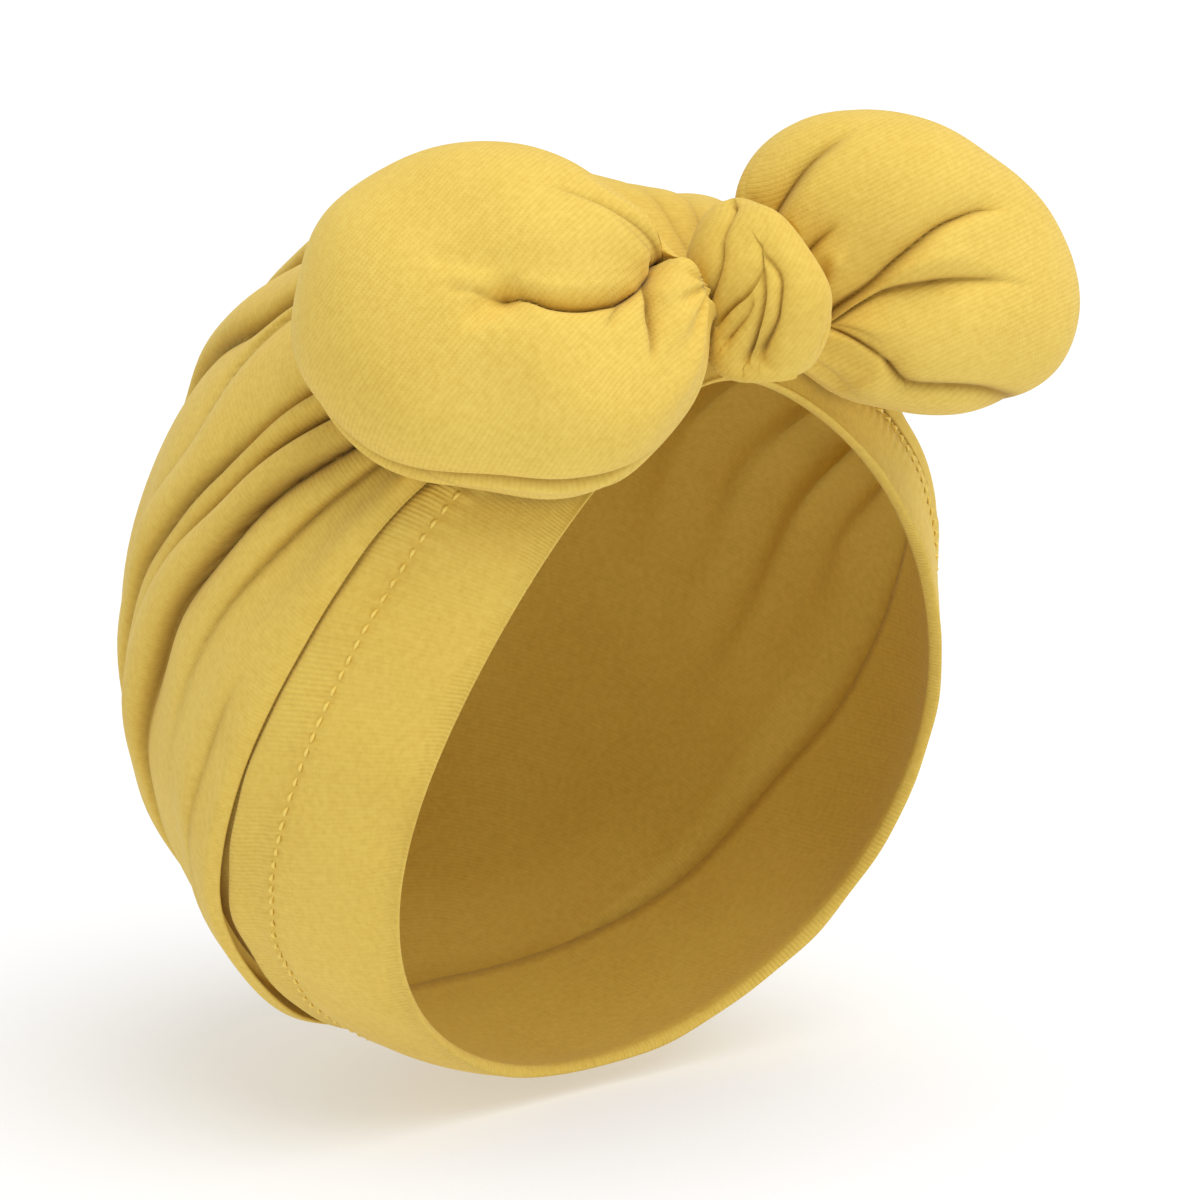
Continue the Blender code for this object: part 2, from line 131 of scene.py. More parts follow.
CREASES_LEFT = [
    (0.0026, 0.12, 2.2, 0, 112, (0.11, 0.14, 0.150, 0.165, 0.170, 0.172, 0.170, 0.17)),
    (0.0040, 0.07, 2.2, 0, 124, (0.21, 0.24, 0.255, 0.262, 0.266, 0.270, 0.272, 0.27)),
    (0.0030, 0.10, 2.2, 0, 118, (0.31, 0.33, 0.345, 0.356, 0.365, 0.370, 0.360, 0.36)),
    (0.0040, 0.07, 2.2, 0, 112, (0.42, 0.45, 0.470, 0.475, 0.480, 0.475, 0.470, 0.47)),
    (0.0028, 0.12, 2.2, 0, 104, (0.55, 0.57, 0.585, 0.595, 0.600, 0.610, 0.615, 0.61)),
    (0.0034, 0.09, 2.2, 0, 100, (0.66, 0.68, 0.700, 0.710, 0.715, 0.720, 0.720, 0.72)),
    (0.0026, 0.12, 2.2, 0, 96, (0.80, 0.81, 0.820, 0.825, 0.825, 0.820, 0.815, 0.82)),
    (0.0020, 0.14, 2.2, 0, 90, (0.91, 0.92, 0.925, 0.930, 0.935, 0.940, 0.940, 0.94)),
]
FOLD_SINK = 0.50
FOLD_PIT = 0.30
FOLD_OVERHANG = 0.42
# Width of the painted shade along the crown's creases.
FOLD_PAINTED_SHADE_WIDTH = 0.0008
SIDE_LENGTH = 0.117
LAST_PLACE = 1.10
LAST_PIT_SHARE = 0.22
LEAN_REACH = 1.4
START_FADE_DEG = 8.0
END_FADE_SHARE = 0.55
KNOT_DEPTH_SHARE = 0.45
KNOT_DEPTH_TURNS = (8.0, 45.0)
KNOT_STEEP_SHARE = 0.6
STEEP_GAIN = 0.8
STEEP_TURNS = (45.0, 100.0)

# Where the gathered cloth behind the knot lies lower: its middle, depth and radius.
TOP_HOLLOW_PLACE = (0.013, 0.000, 0.079)
TOP_HOLLOW_DEPTH = 0.0030
TOP_HOLLOW_RADIUS = 0.016

# Seeds of the soft unevenness of the crown, band and knot.
CROWN_SEED = 3
BAND_SEED = 8
KNOT_SEED = 21

# Band: the stitch line's distance behind the rim at angles round the opening from the knot.
STITCH_ANGLES_RIGHT = [0, 30, 56, 69, 82, 92, 106, 116, 135, 180]
STITCH_BACK_RIGHT = [0.0040, 0.0085, 0.0122, 0.0135, 0.0148, 0.0160, 0.0182, 0.0203, 0.0220, 0.0240]
STITCH_ANGLES_LEFT = [0, 30, 47, 60, 82, 92, 106, 116, 135, 180]
STITCH_BACK_LEFT = [0.0040, 0.0056, 0.0068, 0.0082, 0.0122, 0.0148, 0.0178, 0.0200, 0.0220, 0.0240]
BAND_RADIUS = 0.065
STITCH_PITCH = 0.0028
STITCH_LENGTH = 0.0019
STITCH_RADIUS = 0.00032
STITCH_GROOVE = 0.00035
STITCH_GROOVE_WIDTH = 0.0007
STITCH_BLUNTNESS = 0.6
STITCH_ARCH = 1.5
STITCH_SINK = 1.3
STITCH_END_SHARE = 0.25
STITCH_MAP_STEP = 0.0002
PUCKER = 0.00016
PUCKER_WIDTH = 0.0022
TUCK_SHARE = 0.25
TUCK_MIN = 0.0020
TUCK_MAX = 0.0050
BAND_PUFF = 0.0013
PUFF_RISE = (0.0, 0.0016)
PUFF_FADE = (0.002, 0.007)
UNDER_CROWN = (-0.0015, 0.0005)
BAND_RIPPLE = 0.00022
BAND_RIPPLE_LENGTH = 0.018
RIB_PITCH = 0.00075
RIM_RIB_FADE = (0.0008, 0.0024)
HEM_RIB_RISE = (0.0002, 0.0010)
HEM_RIB_AT_CROWN = (-0.001, 0.0005)
HEM_RIB_SHARE = 0.8
UNDER_EAR_RIB_SHARE = 0.25
PAST_EAR_TURNS = (42.0, 64.0)

# Knot.
KNOT_WALE_DEG = 42.0
KNOT_POLE = (1.0, 0.90)
KNOT_UNEVEN = 0.00025
KNOT_UNEVEN_LENGTH = 0.010
KNOT_HALF_LENGTH = 0.0102
KNOT_HALF_HEIGHT = 0.0150
KNOT_HALF_DEPTH = 0.0122

# Creases of the knot. Each row: depth at its start, depth at its end, half widths on its right and
# left, overhang, points: the angle round the wrap from its front, in radians, and the height share.
KNOT_CREASES = [
    (0.0016, 0.0020, 0.0007, 0.0014, 0.0005,
     ((-0.54, 0.80), (-1.00, 0.50), (-1.16, 0.26), (-1.28, 0.13), (-1.47, 0.01), (-1.79, -0.10))),
    (0.0010, 0.0026, 0.0005, 0.0017, 0.0007,
     ((-0.58, 0.06), (-0.66, -0.04), (-0.74, -0.09), (-0.93, -0.19), (-1.11, -0.24), (-1.36, -0.26),
      (-1.70, -0.31))),
    (0.0010, 0.0032, 0.0007, 0.0013, 0.0006,
     ((-0.57, 0.10), (-0.64, -0.07), (-0.74, -0.21), (-0.85, -0.37), (-1.05, -0.52), (-1.39, -0.66),
      (-1.80, -0.74))),
    (0.0010, 0.0030, 0.0008, 0.0013, 0.0004,
     ((-0.54, 0.20), (-0.50, 0.08), (-0.47, -0.08), (-0.47, -0.25), (-0.60, -0.45), (-0.79, -0.62),
      (-1.15, -0.74), (-1.60, -0.82))),
    (0.0010, 0.0016, 0.0006, 0.0012, 0.0003,
     ((-1.08, -0.36), (-1.29, -0.43), (-1.70, -0.49))),
    (0.0014, 0.0012, 0.0008, 0.0016, 0.0004,
     ((0.90, 0.80), (0.96, 0.40), (1.02, 0.00), (0.98, -0.40), (0.80, -0.80))),
    (0.0012, 0.0012, 0.0008, 0.0016, 0.0003,
     ((1.50, 0.60), (1.56, 0.20), (1.52, -0.20), (1.40, -0.60))),
]

# Swellings and hollows of the knot. Each row: angle round the wrap, height share, half turn, half
# height, rise.
KNOT_LOBES = [
    (-1.55, 0.42, 0.42, 0.38, 0.0012),
    (-2.05, -0.60, 0.48, 0.34, 0.0030),
    (0.80, 0.58, 0.55, 0.42, -0.0030),
    (0.85, -0.05, 0.50, 0.36, -0.0014),
]

# Bow ears.
EAR_FULLNESS = 0.86
EAR_NECK_SHARE = 0.45
EAR_NECK_HALF_HEIGHT = 0.5
EAR_TAIL_TO_KNOT = (0.55, 1.0)
EAR_TAIL_BEHIND = (-0.12, -0.50)
EAR_TAIL_BELOW = (0.34, 0.02)
EAR_FRONT_FROM = -0.15
EAR_FRONT_FULL = 0.20
EAR_SINK_SPREAD = 0.6
EAR_GATHER_FROM = -0.45
EAR_GATHER_FULL = -0.95
EAR_GATHER = 0.0005
EAR_GATHER_COUNT = 11.0
EAR_UNEVEN = 0.00045
EAR_UNEVEN_LENGTH = 0.024
EAR_SWELL_REACH = 1.12
EAR_SWELL_SHARE = 0.55
EAR_BACK_MAP_SHIFT = 0.5
CLEARING_PASSES = 6
FORM_PASSES = 3

# Outlines of the ears. Each row: angle from the direction away from the knot, share of the reach there.
EAR_RIGHT_OUTLINE = [
    (-178, 1.02), (-160, 1.00), (-142, 0.99), (-125, 1.00), (-100, 0.955), (-72, 0.895),
    (-46, 0.94), (-20, 1.03), (2, 1.09), (27, 1.11), (49, 1.055), (75, 0.975), (100, 0.90),
    (122, 0.86), (143, 0.845), (162, 0.93),
]
EAR_LEFT_OUTLINE = [
    (-178, 0.90), (-160, 0.88), (-140, 0.77), (-115, 0.76), (-95, 0.78), (-78, 0.815), (-60, 0.905),
    (-41, 1.02), (-25, 1.035), (-8, 1.00), (10, 0.945), (30, 0.87), (55, 0.835), (78, 0.87),
    (100, 0.97), (118, 1.05), (136, 1.08), (152, 1.06), (167, 0.97),
]

# Creases of the right ear. Each row: depth at its start, depth at its end, half widths above and
# below, overhang, points: away from the knot and up, as shares of the reach.
EAR_RIGHT_CREASES = [
    (0.0086, 0.0046, 0.0034, 0.0014, 0.0010,
     ((-0.90, 0.22), (-0.82, 0.13), (-0.71, 0.03), (-0.58, -0.07), (-0.42, -0.12), (-0.30, -0.13),
      (-0.18, -0.11), (-0.10, -0.07), (-0.02, -0.03), (0.04, -0.02))),
    (0.0022, 0.0008, 0.0044, 0.0026, 0.0002,
     ((-0.76, 0.18), (-0.58, 0.08), (-0.35, 0.03), (-0.18, 0.05), (-0.03, 0.09), (0.12, 0.14),
      (0.30, 0.19))),
    (0.0042, 0.0004, 0.0024, 0.0032, 0.0003,
     ((0.02, -0.02), (0.13, -0.06), (0.20, -0.10), (0.28, -0.17))),
    (0.0020, 0.0003, 0.0014, 0.0018, 0.0002,
     ((0.02, -0.01), (0.16, 0.02), (0.33, 0.06))),
    (0.0026, 0.0004, 0.0020, 0.0008, 0.0005,
     ((-0.88, 0.22), (-0.76, 0.29), (-0.64, 0.36), (-0.52, 0.43), (-0.30, 0.52))),
    (0.0022, 0.0003, 0.0014, 0.0007, 0.0004,
     ((-0.86, 0.19), (-0.72, 0.24), (-0.58, 0.33))),
    (0.0064, 0.0006, 0.0012, 0.0016, 0.0006,
     ((-0.79, 0.09), (-0.72, -0.02), (-0.69, -0.14), (-0.67, -0.28), (-0.63, -0.46))),
    (0.0044, 0.0002, 0.0012, 0.0016, 0.0006,
     ((-0.66, -0.01), (-0.56, -0.10), (-0.49, -0.18), (-0.42, -0.28))),
]

# Swellings and hollows of the right ear. Each row: away from the knot, up, half length, half height
# and rise.
EAR_RIGHT_LOBES = [
    (-0.84, 0.15, 0.07, 0.06, -0.0030),
    (-0.60, -0.06, 0.06, 0.05, -0.0014),
    (0.05, -0.02, 0.07, 0.06, -0.0016),
    (-0.45, 0.26, 0.26, 0.20, 0.0010),
    (-0.82, -0.16, 0.09, 0.24, 0.0014),
]

# The right ear's seam runs round its edge: how far to its front it lies, at angles as in the outline.
EDGE_SEAM_ANGLES = [-135, -117, -98, -85, -61, -34, -20, 0]
EDGE_SEAM_LEVELS = [-0.06, 0.04, 0.15, 0.16, 0.08, -0.08, -0.14, -0.18]

# Creases, swellings and front seam of the left ear, in the same form.
EAR_LEFT_CREASES = [
    (0.0080, 0.0014, 0.0036, 0.0013, 0.0014,
     ((-0.84, -0.13), (-0.70, -0.16), (-0.62, -0.12), (-0.44, -0.04), (-0.27, 0.07), (-0.11, 0.16),
      (0.04, 0.20), (0.18, 0.22), (0.29, 0.21))),
    (0.0056, 0.0008, 0.0012, 0.0034, 0.0012,
     ((-0.66, -0.22), (-0.52, -0.16), (-0.40, -0.12), (-0.27, -0.12), (-0.10, -0.13), (0.11, -0.16),
      (0.26, -0.19))),
    (0.0050, 0.0010, 0.0026, 0.0010, 0.0008,
     ((-0.80, -0.14), (-0.70, -0.25), (-0.61, -0.33), (-0.46, -0.47), (-0.35, -0.60))),
    (0.0020, 0.0002, 0.0010, 0.0016, 0.0003,
     ((-0.72, -0.20), (-0.60, -0.27), (-0.50, -0.36), (-0.44, -0.43))),
    (0.0040, 0.0004, 0.0016, 0.0008, 0.0003,
     ((-0.97, 0.34), (-0.95, 0.46), (-0.90, 0.60))),
    (0.0062, 0.0004, 0.0024, 0.0008, 0.0008,
     ((-0.95, 0.26), (-0.92, 0.32), (-0.87, 0.44), (-0.74, 0.59), (-0.62, 0.68), (-0.42, 0.77))),
    (0.0052, 0.0004, 0.0018, 0.0010, 0.0005,
     ((-0.88, 0.10), (-0.80, 0.16), (-0.74, 0.22), (-0.62, 0.29))),
]
EAR_LEFT_LOBES = [
    (-0.25, -0.03, 0.26, 0.05, 0.0009),
    (0.05, 0.45, 0.40, 0.30, 0.0008),
    (-0.50, -0.58, 0.25, 0.12, 0.0010),
    (-0.74, 0.06, 0.05, 0.07, -0.0022),
    (-0.64, 0.09, 0.05, 0.05, 0.0012),
]
EAR_LEFT_SEAM = ((-0.46, -0.47), (-0.35, -0.60), (-0.25, -0.66), (-0.08, -0.70), (0.15, -0.735),
                 (0.36, -0.77), (0.56, -0.78), (0.70, -0.74))

# The two ears. The offset is from the middle of the knot, and the front faces along facing.
EAR_RIGHT = {
    "offset": (-0.0378, 0.0155, -0.0030),
    "facing": (-0.56, -0.71, 0.43),
    "reach": 0.0305,
    "half_thickness": 0.0190,
    "tail": 0.0050,
    "wale_deg": 141.0,
    "seed": 5,
    "outline": EAR_RIGHT_OUTLINE,
    "creases": EAR_RIGHT_CREASES,
    "lobes": EAR_RIGHT_LOBES,
    "seam": (),
}
EAR_LEFT = {
    "offset": (0.0318, 0.0010, -0.0010),
    "facing": (-0.15, -0.93, 0.33),
    "reach": 0.0290,
    "half_thickness": 0.0190,
    "tail": 0.0,
    "wale_deg": 15.0,
    "seed": 9,
    "outline": EAR_LEFT_OUTLINE,
    "creases": EAR_LEFT_CREASES,
    "lobes": EAR_LEFT_LOBES,
    "seam": EAR_LEFT_SEAM,
}

# Seams of the ears.
SEAM_DEPTH = 0.0017
SEAM_WIDTH = 0.0007
SEAM_LIP = 0.0007
SEAM_LIP_AWAY = 0.0018
SEAM_LIP_WIDTH = 0.0012
# Painted shade along the seams, and where it fades on the front seam.
SEAM_PAINTED_SHADE = 0.8
EDGE_SEAM_START_DEG = (-128.0, -108.0)
EDGE_SEAM_END_DEG = (-20.0, 0.0)
FRONT_SEAM_SIDE = (-0.30, 0.0)
FRONT_SEAM_RISE = 0.06
FRONT_SEAM_PAINTED_SHADE_FADE = 0.14
FRONT_SEAM_FADE = 0.42

# Form of the creases of the knot and ears.
CREASE_WIDTH_AT_END = 0.65
CREASE_WIDTH_GAIN = 0.60
CREASE_FADE_POWER = 1.3
NARROW_POWER = 1.1
WIDE_POWER = 1.9
LEAN_WIDTHS = 2.2
LEAN_MAX_SHARE = 0.75
# Painted shade along the narrow creases and seams: its sharpness, its fade at a crease's end, the depth at
# which it is full, and its width.
PAINTED_SHADE_POWER = 1.3
PAINTED_SHADE_FADE_SHARE = 0.12
CREASE_PAINTED_SHADE_DEPTH = 0.0035
CREASE_PAINTED_SHADE_WIDTH = 0.00050
SOFT_VALLEY_WIDTH = 0.0021

# Creases and swellings of the back of both ears.
EAR_BACK_CREASES = [
    (0.0060, 0.0006, 0.0018, 0.0034, 0.0012,
     ((-0.85, 0.02), (-0.60, 0.03), (-0.30, 0.08), (0.05, 0.12))),
    (0.0030, 0.0004, 0.0012, 0.0020, 0.0006,
     ((-0.85, -0.18), (-0.62, -0.28), (-0.35, -0.40))),
    (0.0028, 0.0004, 0.0012, 0.0020, 0.0006,
     ((-0.85, 0.20), (-0.62, 0.36), (-0.38, 0.48))),
]
EAR_BACK_LOBES = [
    (0.10, 0.40, 0.40, 0.30, 0.0008),
    (0.10, -0.30, 0.40, 0.30, 0.0008),
]

# Smoothness of the meshes.
CROWN_ROWS = 150
CROWN_COLUMNS = 225
CROWN_INNER_COLUMNS = 75
BAND_STEPS = 900
BAND_COLUMNS = 60
BAND_INNER_COLUMNS = 16
KNOT_CUTS = 90
EAR_CUTS = 96
BISECTIONS = 36
ROLL_STEPS_DEG = [30.0, 60.0, 90.0, 120.0, 150.0]
FOLD_CROWDING = 0.55
FIRST_TURN = 3.0
TURN_RANGE = 175.0
TURN_CROWDING = 0.25
RIM_CROWDING = 0.35
STITCH_RINGS = 7
STITCH_SIDES = 8
STITCH_LINE_STEPS = 4001
CROWN_EDGE_STEPS = 181
RIPPLE_WAVES = 7
CURVE_STEPS = 6

# Cloth.
# Painted shade: the cloth's colour is multiplied towards this in its creases and seams.
PAINTED_CREASE_SHADE = (0.40, 0.30, 0.20)
JERSEY = (0.762, 0.537, 0.104)
JERSEY_DARK = (0.642, 0.424, 0.068)
JERSEY_LIGHT = (0.852, 0.640, 0.147)
WALE_PITCH = 0.00077
COURSE_PITCH = 0.00060
WANDER = 0.00045
WANDER_SCALE = 260.0
COURSE_HEIGHT = 0.30
GAP_HEIGHT = -0.70
GAP_POWER = 3.0
PATCH_SCALE = 120.0
PATCH_BASE = 0.25
NAP_SCALE = 2600.0
NAP_HEIGHT = 0.55
RIB_HEIGHT = 1.1
# Painted shade: the cloth's colour is darker in the grooves of the ribs and of the knit.
RIB_GROOVE_PAINTED_SHADE = 0.26
KNIT_GROOVE_PAINTED_SHADE = 0.17
BUMP_STRENGTH = 0.40
BUMP_DISTANCE = 0.00016
BROAD_DYE = 0.45
BROAD_DYE_SCALE = 34.0
FINE_DYE = 0.55
FINE_DYE_SCALE = 900.0
DARK_STOP = 0.12
MIDDLE_STOP = 0.50
LIGHT_STOP = 0.88
JERSEY_SURFACE = {
    "Roughness": 0.86,
    "Specular IOR Level": 0.18,
    "Sheen Weight": 0.22,
    "Sheen Roughness": 0.45,
    "Sheen Tint": (0.95, 0.85, 0.55, 1.0),
}
THREAD_SURFACE = {"Roughness": 0.55}
THREAD_DARK = (0.80, 0.57, 0.09, 1.0)
THREAD_LIGHT = (0.95, 0.74, 0.18, 1.0)
THREAD_SCALE = 3200.0

# Cloth of each part: how strongly the knit lines show, and its tint.
CROWN_KNIT = (1.0, (0.985, 0.98, 0.985))
BAND_KNIT = (0.8, (0.97, 0.96, 0.95))
KNOT_KNIT = (1.1, (1.0, 1.0, 1.0))
EAR_KNIT = (1.4, (1.02, 1.02, 1.04))

# Size of the crown's cloth in its map: over the back from fold to fold is twice the first.
CROWN_ACROSS = 0.118
CROWN_ALONG = 0.235


def smooth_step(low, high, value):
    """Rise from 0 at low to 1 at high without corners."""
    share = np.clip((value - low) / (high - low), 0.0, 1.0)
    return share * share * (3.0 - 2.0 * share)


def bell(value, width):
    """Fall smoothly from 1 where the value is 0, over a given width."""
    return np.exp(-(value / width) ** 2)


def unit(vectors):
    """Scale vectors to length 1."""
    vectors = np.asarray(vectors, dtype=float)
    return vectors / np.linalg.norm(vectors, axis=-1, keepdims=True)


def read_table(places, values, where):
    """Read a table at any place, with smooth joins between its rows."""
    places = np.asarray(places, dtype=float)
    values = np.asarray(values, dtype=float)
    slopes = np.gradient(values, places)
    where = np.clip(where, places[0], places[-1])
    index = np.clip(np.searchsorted(places, where) - 1, 0, len(places) - 2)
    step = places[index + 1] - places[index]
    share = (where - places[index]) / step
    start = (1.0 + 2.0 * share) * (1.0 - share) ** 2 * values[index]
    start = start + share * (1.0 - share) ** 2 * step * slopes[index]
    end = share ** 2 * (3.0 - 2.0 * share) * values[index + 1]
    return start + end + share ** 2 * (share - 1.0) * step * slopes[index + 1]


def ripple(points, scale, seed):
    """Soft unevenness between about -1 and 1, of a given wavelength, the same in every run."""
    random = np.random.default_rng(seed)
    value = np.zeros(points.shape[:-1])
    for _ in range(RIPPLE_WAVES):
        direction = unit(random.normal(size=3))
        length = scale * random.uniform(0.7, 1.5)
        value = value + np.sin(points @ direction * 2.0 * np.pi / length + random.uniform(0.0, 6.28))
    return value / np.sqrt(RIPPLE_WAVES)


def form_radii(points):
    """Half sizes of the form on the side of the centre where each point lies."""
    radii = np.empty_like(points)
    radii[..., 0] = HEAD_SIDE
    radii[..., 1] = np.where(points[..., 1] < 0.0, HEAD_FRONT, HEAD_BACK)
    radii[..., 2] = np.where(points[..., 2] < 0.0, HEAD_DOWN, HEAD_UP)
    return radii


def form_level(points):
    """Return 1 on the form, less inside it and more outside."""
    return np.linalg.norm(points / form_radii(points), axis=-1)


def form_outward(points):
    """Unit vectors straight out from the form."""
    return unit(points / form_radii(points) ** 2)


def ray_to_form(start, rays):
    """Follow rays from inside the form to its surface."""
    near = np.zeros(rays.shape[:-1])
    far = np.full(rays.shape[:-1], 2.0 * (HEAD_UP + HEAD_DOWN + HEAD_BACK))
    for _ in range(BISECTIONS):
        middle = 0.5 * (near + far)
        outside = form_level(start + rays * middle[..., None]) > 1.0
        far = np.where(outside, middle, far)
        near = np.where(outside, near, middle)
    return start + rays * far[..., None]


def opening_axis():
    """Direction in which the face opening looks."""
    tilt = np.radians(RIM_TILT_DEG)
    return np.array([0.0, -np.cos(tilt), -np.sin(tilt)])


def rim_reach(round_angle):
    """Distance of the rim along the opening axis; the angle is 0 at the knot."""
    spread = np.radians(RIM_LIFT_SPREAD_DEG)
    lift = RIM_LIFT * bell(round_angle, spread)
    return RIM_FRONT - RIM_SADDLE * np.cos(2.0 * round_angle) - lift


def behind_rim(round_angle, back):
    """Point on the form at an angle round the opening, some way behind the rim."""
    round_angle, back = np.broadcast_arrays(np.asarray(round_angle, dtype=float), back)
    goal = rim_reach(round_angle) - back
    axis = opening_axis()
    low = np.zeros_like(goal)
    high = np.full_like(goal, np.pi)

    def at(open_angle):
        side = HEAD_SIDE * np.sin(open_angle) * np.sin(round_angle)
        rise = np.sin(open_angle) * np.cos(round_angle)
        rise = rise * np.where(rise < 0.0, HEAD_DOWN, HEAD_UP)
        depth = -np.cos(open_angle)
        depth = depth * np.where(depth < 0.0, HEAD_FRONT, HEAD_BACK)
        return np.stack([side, depth, rise], axis=-1)

    for _ in range(BISECTIONS):
        middle = 0.5 * (low + high)
        too_far = at(middle) @ axis > goal
        low = np.where(too_far, middle, low)
        high = np.where(too_far, high, middle)
    return at(0.5 * (low + high))


def fold_poles():
    """Points between which the crown's folds run: under the knot and at the nape."""
    return behind_rim(0.0, BAND_AT_KNOT), behind_rim(np.pi, BAND_AT_NAPE)


def edge_back(turn_deg, side):
    """How far the crown's front fold lies behind its CAD line, in degrees."""
    table = EDGE_BACK_RIGHT if side < 0.0 else EDGE_BACK_LEFT
    return read_table(EDGE_TURNS, table, turn_deg)


def crown_base(share, turn_deg, side):
    """Crown point without folds: share from the front edge (0) to the centre back (1)."""
    top, nape = fold_poles()
    middle = 0.5 * (top + nape)
    down = unit(nape - top)
    back = unit(np.cross([1.0, 0.0, 0.0], down))
    back = back * np.sign(back[1])
    share, turn_deg = np.broadcast_arrays(share, turn_deg)
    crowding = 1.0 + CROWDING * (1.0 - smooth_step(CROWDING_FROM_DEG, CROWDING_TO_DEG, turn_deg))
    start = edge_back(turn_deg, side) - EDGE_SWING_DEG
    swing = np.radians(share ** crowding * (90.0 - start) + start)[..., None]
    turn = np.radians(turn_deg)[..., None]
    sideways = np.array([side, 0.0, 0.0]) * np.cos(swing) + back * np.sin(swing)
    return ray_to_form(middle, sideways * np.sin(turn) - down * np.cos(turn))


def crown_cover(share, turn_deg):
    """How far the crown is raised to pass over the band: 1 at the front edge and at both poles."""
    at_edge = 1.0 - smooth_step(COVER_END_SHARE, COVER_FADE_SHARE, share)
    at_knot = 1.0 - smooth_step(GATHER_FULL_DEG, GATHER_FADE_DEG, turn_deg)
    at_nape = smooth_step(180.0 - NAPE_FADE_DEG, 180.0 - NAPE_FULL_DEG, turn_deg)
    return np.maximum(np.maximum(at_edge, at_knot), at_nape)


def roll_profile(way, steep, hold):
    """Height of a roll from its crease (0) to the next one (1), steep on the side of its crease.

    A higher hold keeps the roll's height further towards the next crease.
    """
    rise = 1.0 - np.exp(-np.maximum(way, 0.0) / steep)
    fall = 1.0 - np.clip(way, 0.0, 1.0) ** hold
    return rise * fall


def crown_relief(share, turn_deg, side):
    """Height of the crown's rolls and creases, how far each roll leans, and the painted shade along its
    creases.
    """
    table = CREASES_RIGHT if side < 0.0 else CREASES_LEFT
    near_knot = KNOT_DEPTH_SHARE + (1.0 - KNOT_DEPTH_SHARE) * smooth_step(*KNOT_DEPTH_TURNS, turn_deg)
    places = [np.zeros_like(share)]
    strengths = [np.zeros_like(share)]
    for depth, _, _, start_turn, end_turn, row in table:
        places.append(read_table(CREASE_TURNS, row, turn_deg))
        started = smooth_step(start_turn - START_FADE_DEG, start_turn + START_FADE_DEG, turn_deg)
        ended = 1.0 - smooth_step(END_FADE_SHARE * end_turn, end_turn, turn_deg)
        strengths.append(depth * near_knot * started * ended)
    places.append(np.full_like(share, LAST_PLACE))
    strengths.append(strengths[-1])
    height = np.zeros_like(share)
    lean = np.zeros_like(share)
    painted_shade = np.zeros_like(share)
    for index in range(len(table) + 1):
        start = places[index]
        end = places[index + 1]
        inside = (share >= start) & (share < end)
        way = (share - start) / (end - start)
        strength = strengths[index]
        following = strengths[index + 1]
        steep, hold = table[index - 1][1:3] if index > 0 else (1.0, 2.2)
        steep = steep * (KNOT_STEEP_SHARE + STEEP_GAIN * smooth_step(*STEEP_TURNS, turn_deg))
        roll = strength * roll_profile(way, steep, hold) if index > 0 else 0.0
        sink = FOLD_SINK * (strength + (following - strength) * way)
        pit = strength * np.exp(-np.maximum(way, 0.0) / steep)
        pit = pit + following * np.exp(-np.maximum(1.0 - way, 0.0) / LAST_PIT_SHARE)
        height = height + np.where(inside, roll - sink - FOLD_PIT * pit, 0.0)
        if index > 0:
            reach = np.maximum(way, 0.0) / (LEAN_REACH * steep)
            lean = lean + np.where(inside, FOLD_OVERHANG * strength * reach * np.exp(1.0 - reach), 0.0)
            # Painted shade: a dark line along each crease, as strong as the crease is deep.
            distance = np.abs(way) * (end - start) * SIDE_LENGTH * np.sin(np.radians(turn_deg))
            line_painted_shade = np.minimum(strength / CREASE_PAINTED_SHADE_DEPTH, 1.0) * np.exp(-distance / FOLD_PAINTED_SHADE_WIDTH)
            painted_shade = np.maximum(painted_shade, line_painted_shade)
    return height, lean, painted_shade


def crown_points(share, turn_deg, side):
    """Outer and inner points of the crown's wall, and the painted shade along its creases."""
    base = crown_base(share, turn_deg, side)
    edge = crown_base(np.zeros_like(share), turn_deg, side)
    from_edge = np.linalg.norm(base - edge, axis=-1)
    relief, lean, painted_shade = crown_relief(share, turn_deg, side)
    across = SIDE_LENGTH * np.maximum(np.sin(np.radians(turn_deg)), LEAN_SINE_MIN)
    lean = lean / across
    lean = lean * smooth_step(0.0, LEAN_FULL_BEHIND, from_edge)
    leaned = crown_base(np.maximum(share - lean, 0.0), turn_deg, side)
    outward = form_outward(leaned)
    lift = (COVER_CLEARANCE + CROWN_WALL) * crown_cover(share, turn_deg)
    dip = EDGE_DIP * bell(from_edge, EDGE_DIP_WIDTH)
    soft = CROWN_UNEVEN * ripple(base, CROWN_UNEVEN_LENGTH, CROWN_SEED)
    height = lift + (relief + soft) * smooth_step(0.0, RELIEF_FULL_BEHIND, from_edge)
    from_top = np.linalg.norm(base - np.array(TOP_HOLLOW_PLACE), axis=-1)
    height = height - TOP_HOLLOW_DEPTH * bell(from_top, TOP_HOLLOW_RADIUS)
    rise, full, hold, fall = EDGE_FLARE_TURNS
    flare = smooth_step(rise, full, turn_deg) * (1.0 - smooth_step(hold, fall, turn_deg))
    height = height + EDGE_FLARE * flare * bell(from_edge, EDGE_FLARE_WIDTH)
    inner = base + form_outward(base) * (height - CROWN_WALL)[..., None]
    outer = leaned + outward * (height - dip)[..., None]
    return outer, inner, painted_shade * smooth_step(*PAINTED_SHADE_BEHIND, from_edge)


def spread_columns(count):
    """Shares of a side for the crown's lines, closer together at the front fold."""
    way = np.linspace(0.0, 1.0, count)
    return way - FOLD_CROWDING * np.sin(np.pi * way) / np.pi * (1.0 - way)


def ring_faces(count, pairs):
    """Faces between pairs of rings, all with the same number of points."""
    here = np.arange(count)
    there = (here + 1) % count
    faces = []
    for first, second in pairs:
        start = first * count
        end = second * count
        faces.append(np.stack([start + here, start + there, end + there, end + here], axis=1))
    return np.concatenate(faces)


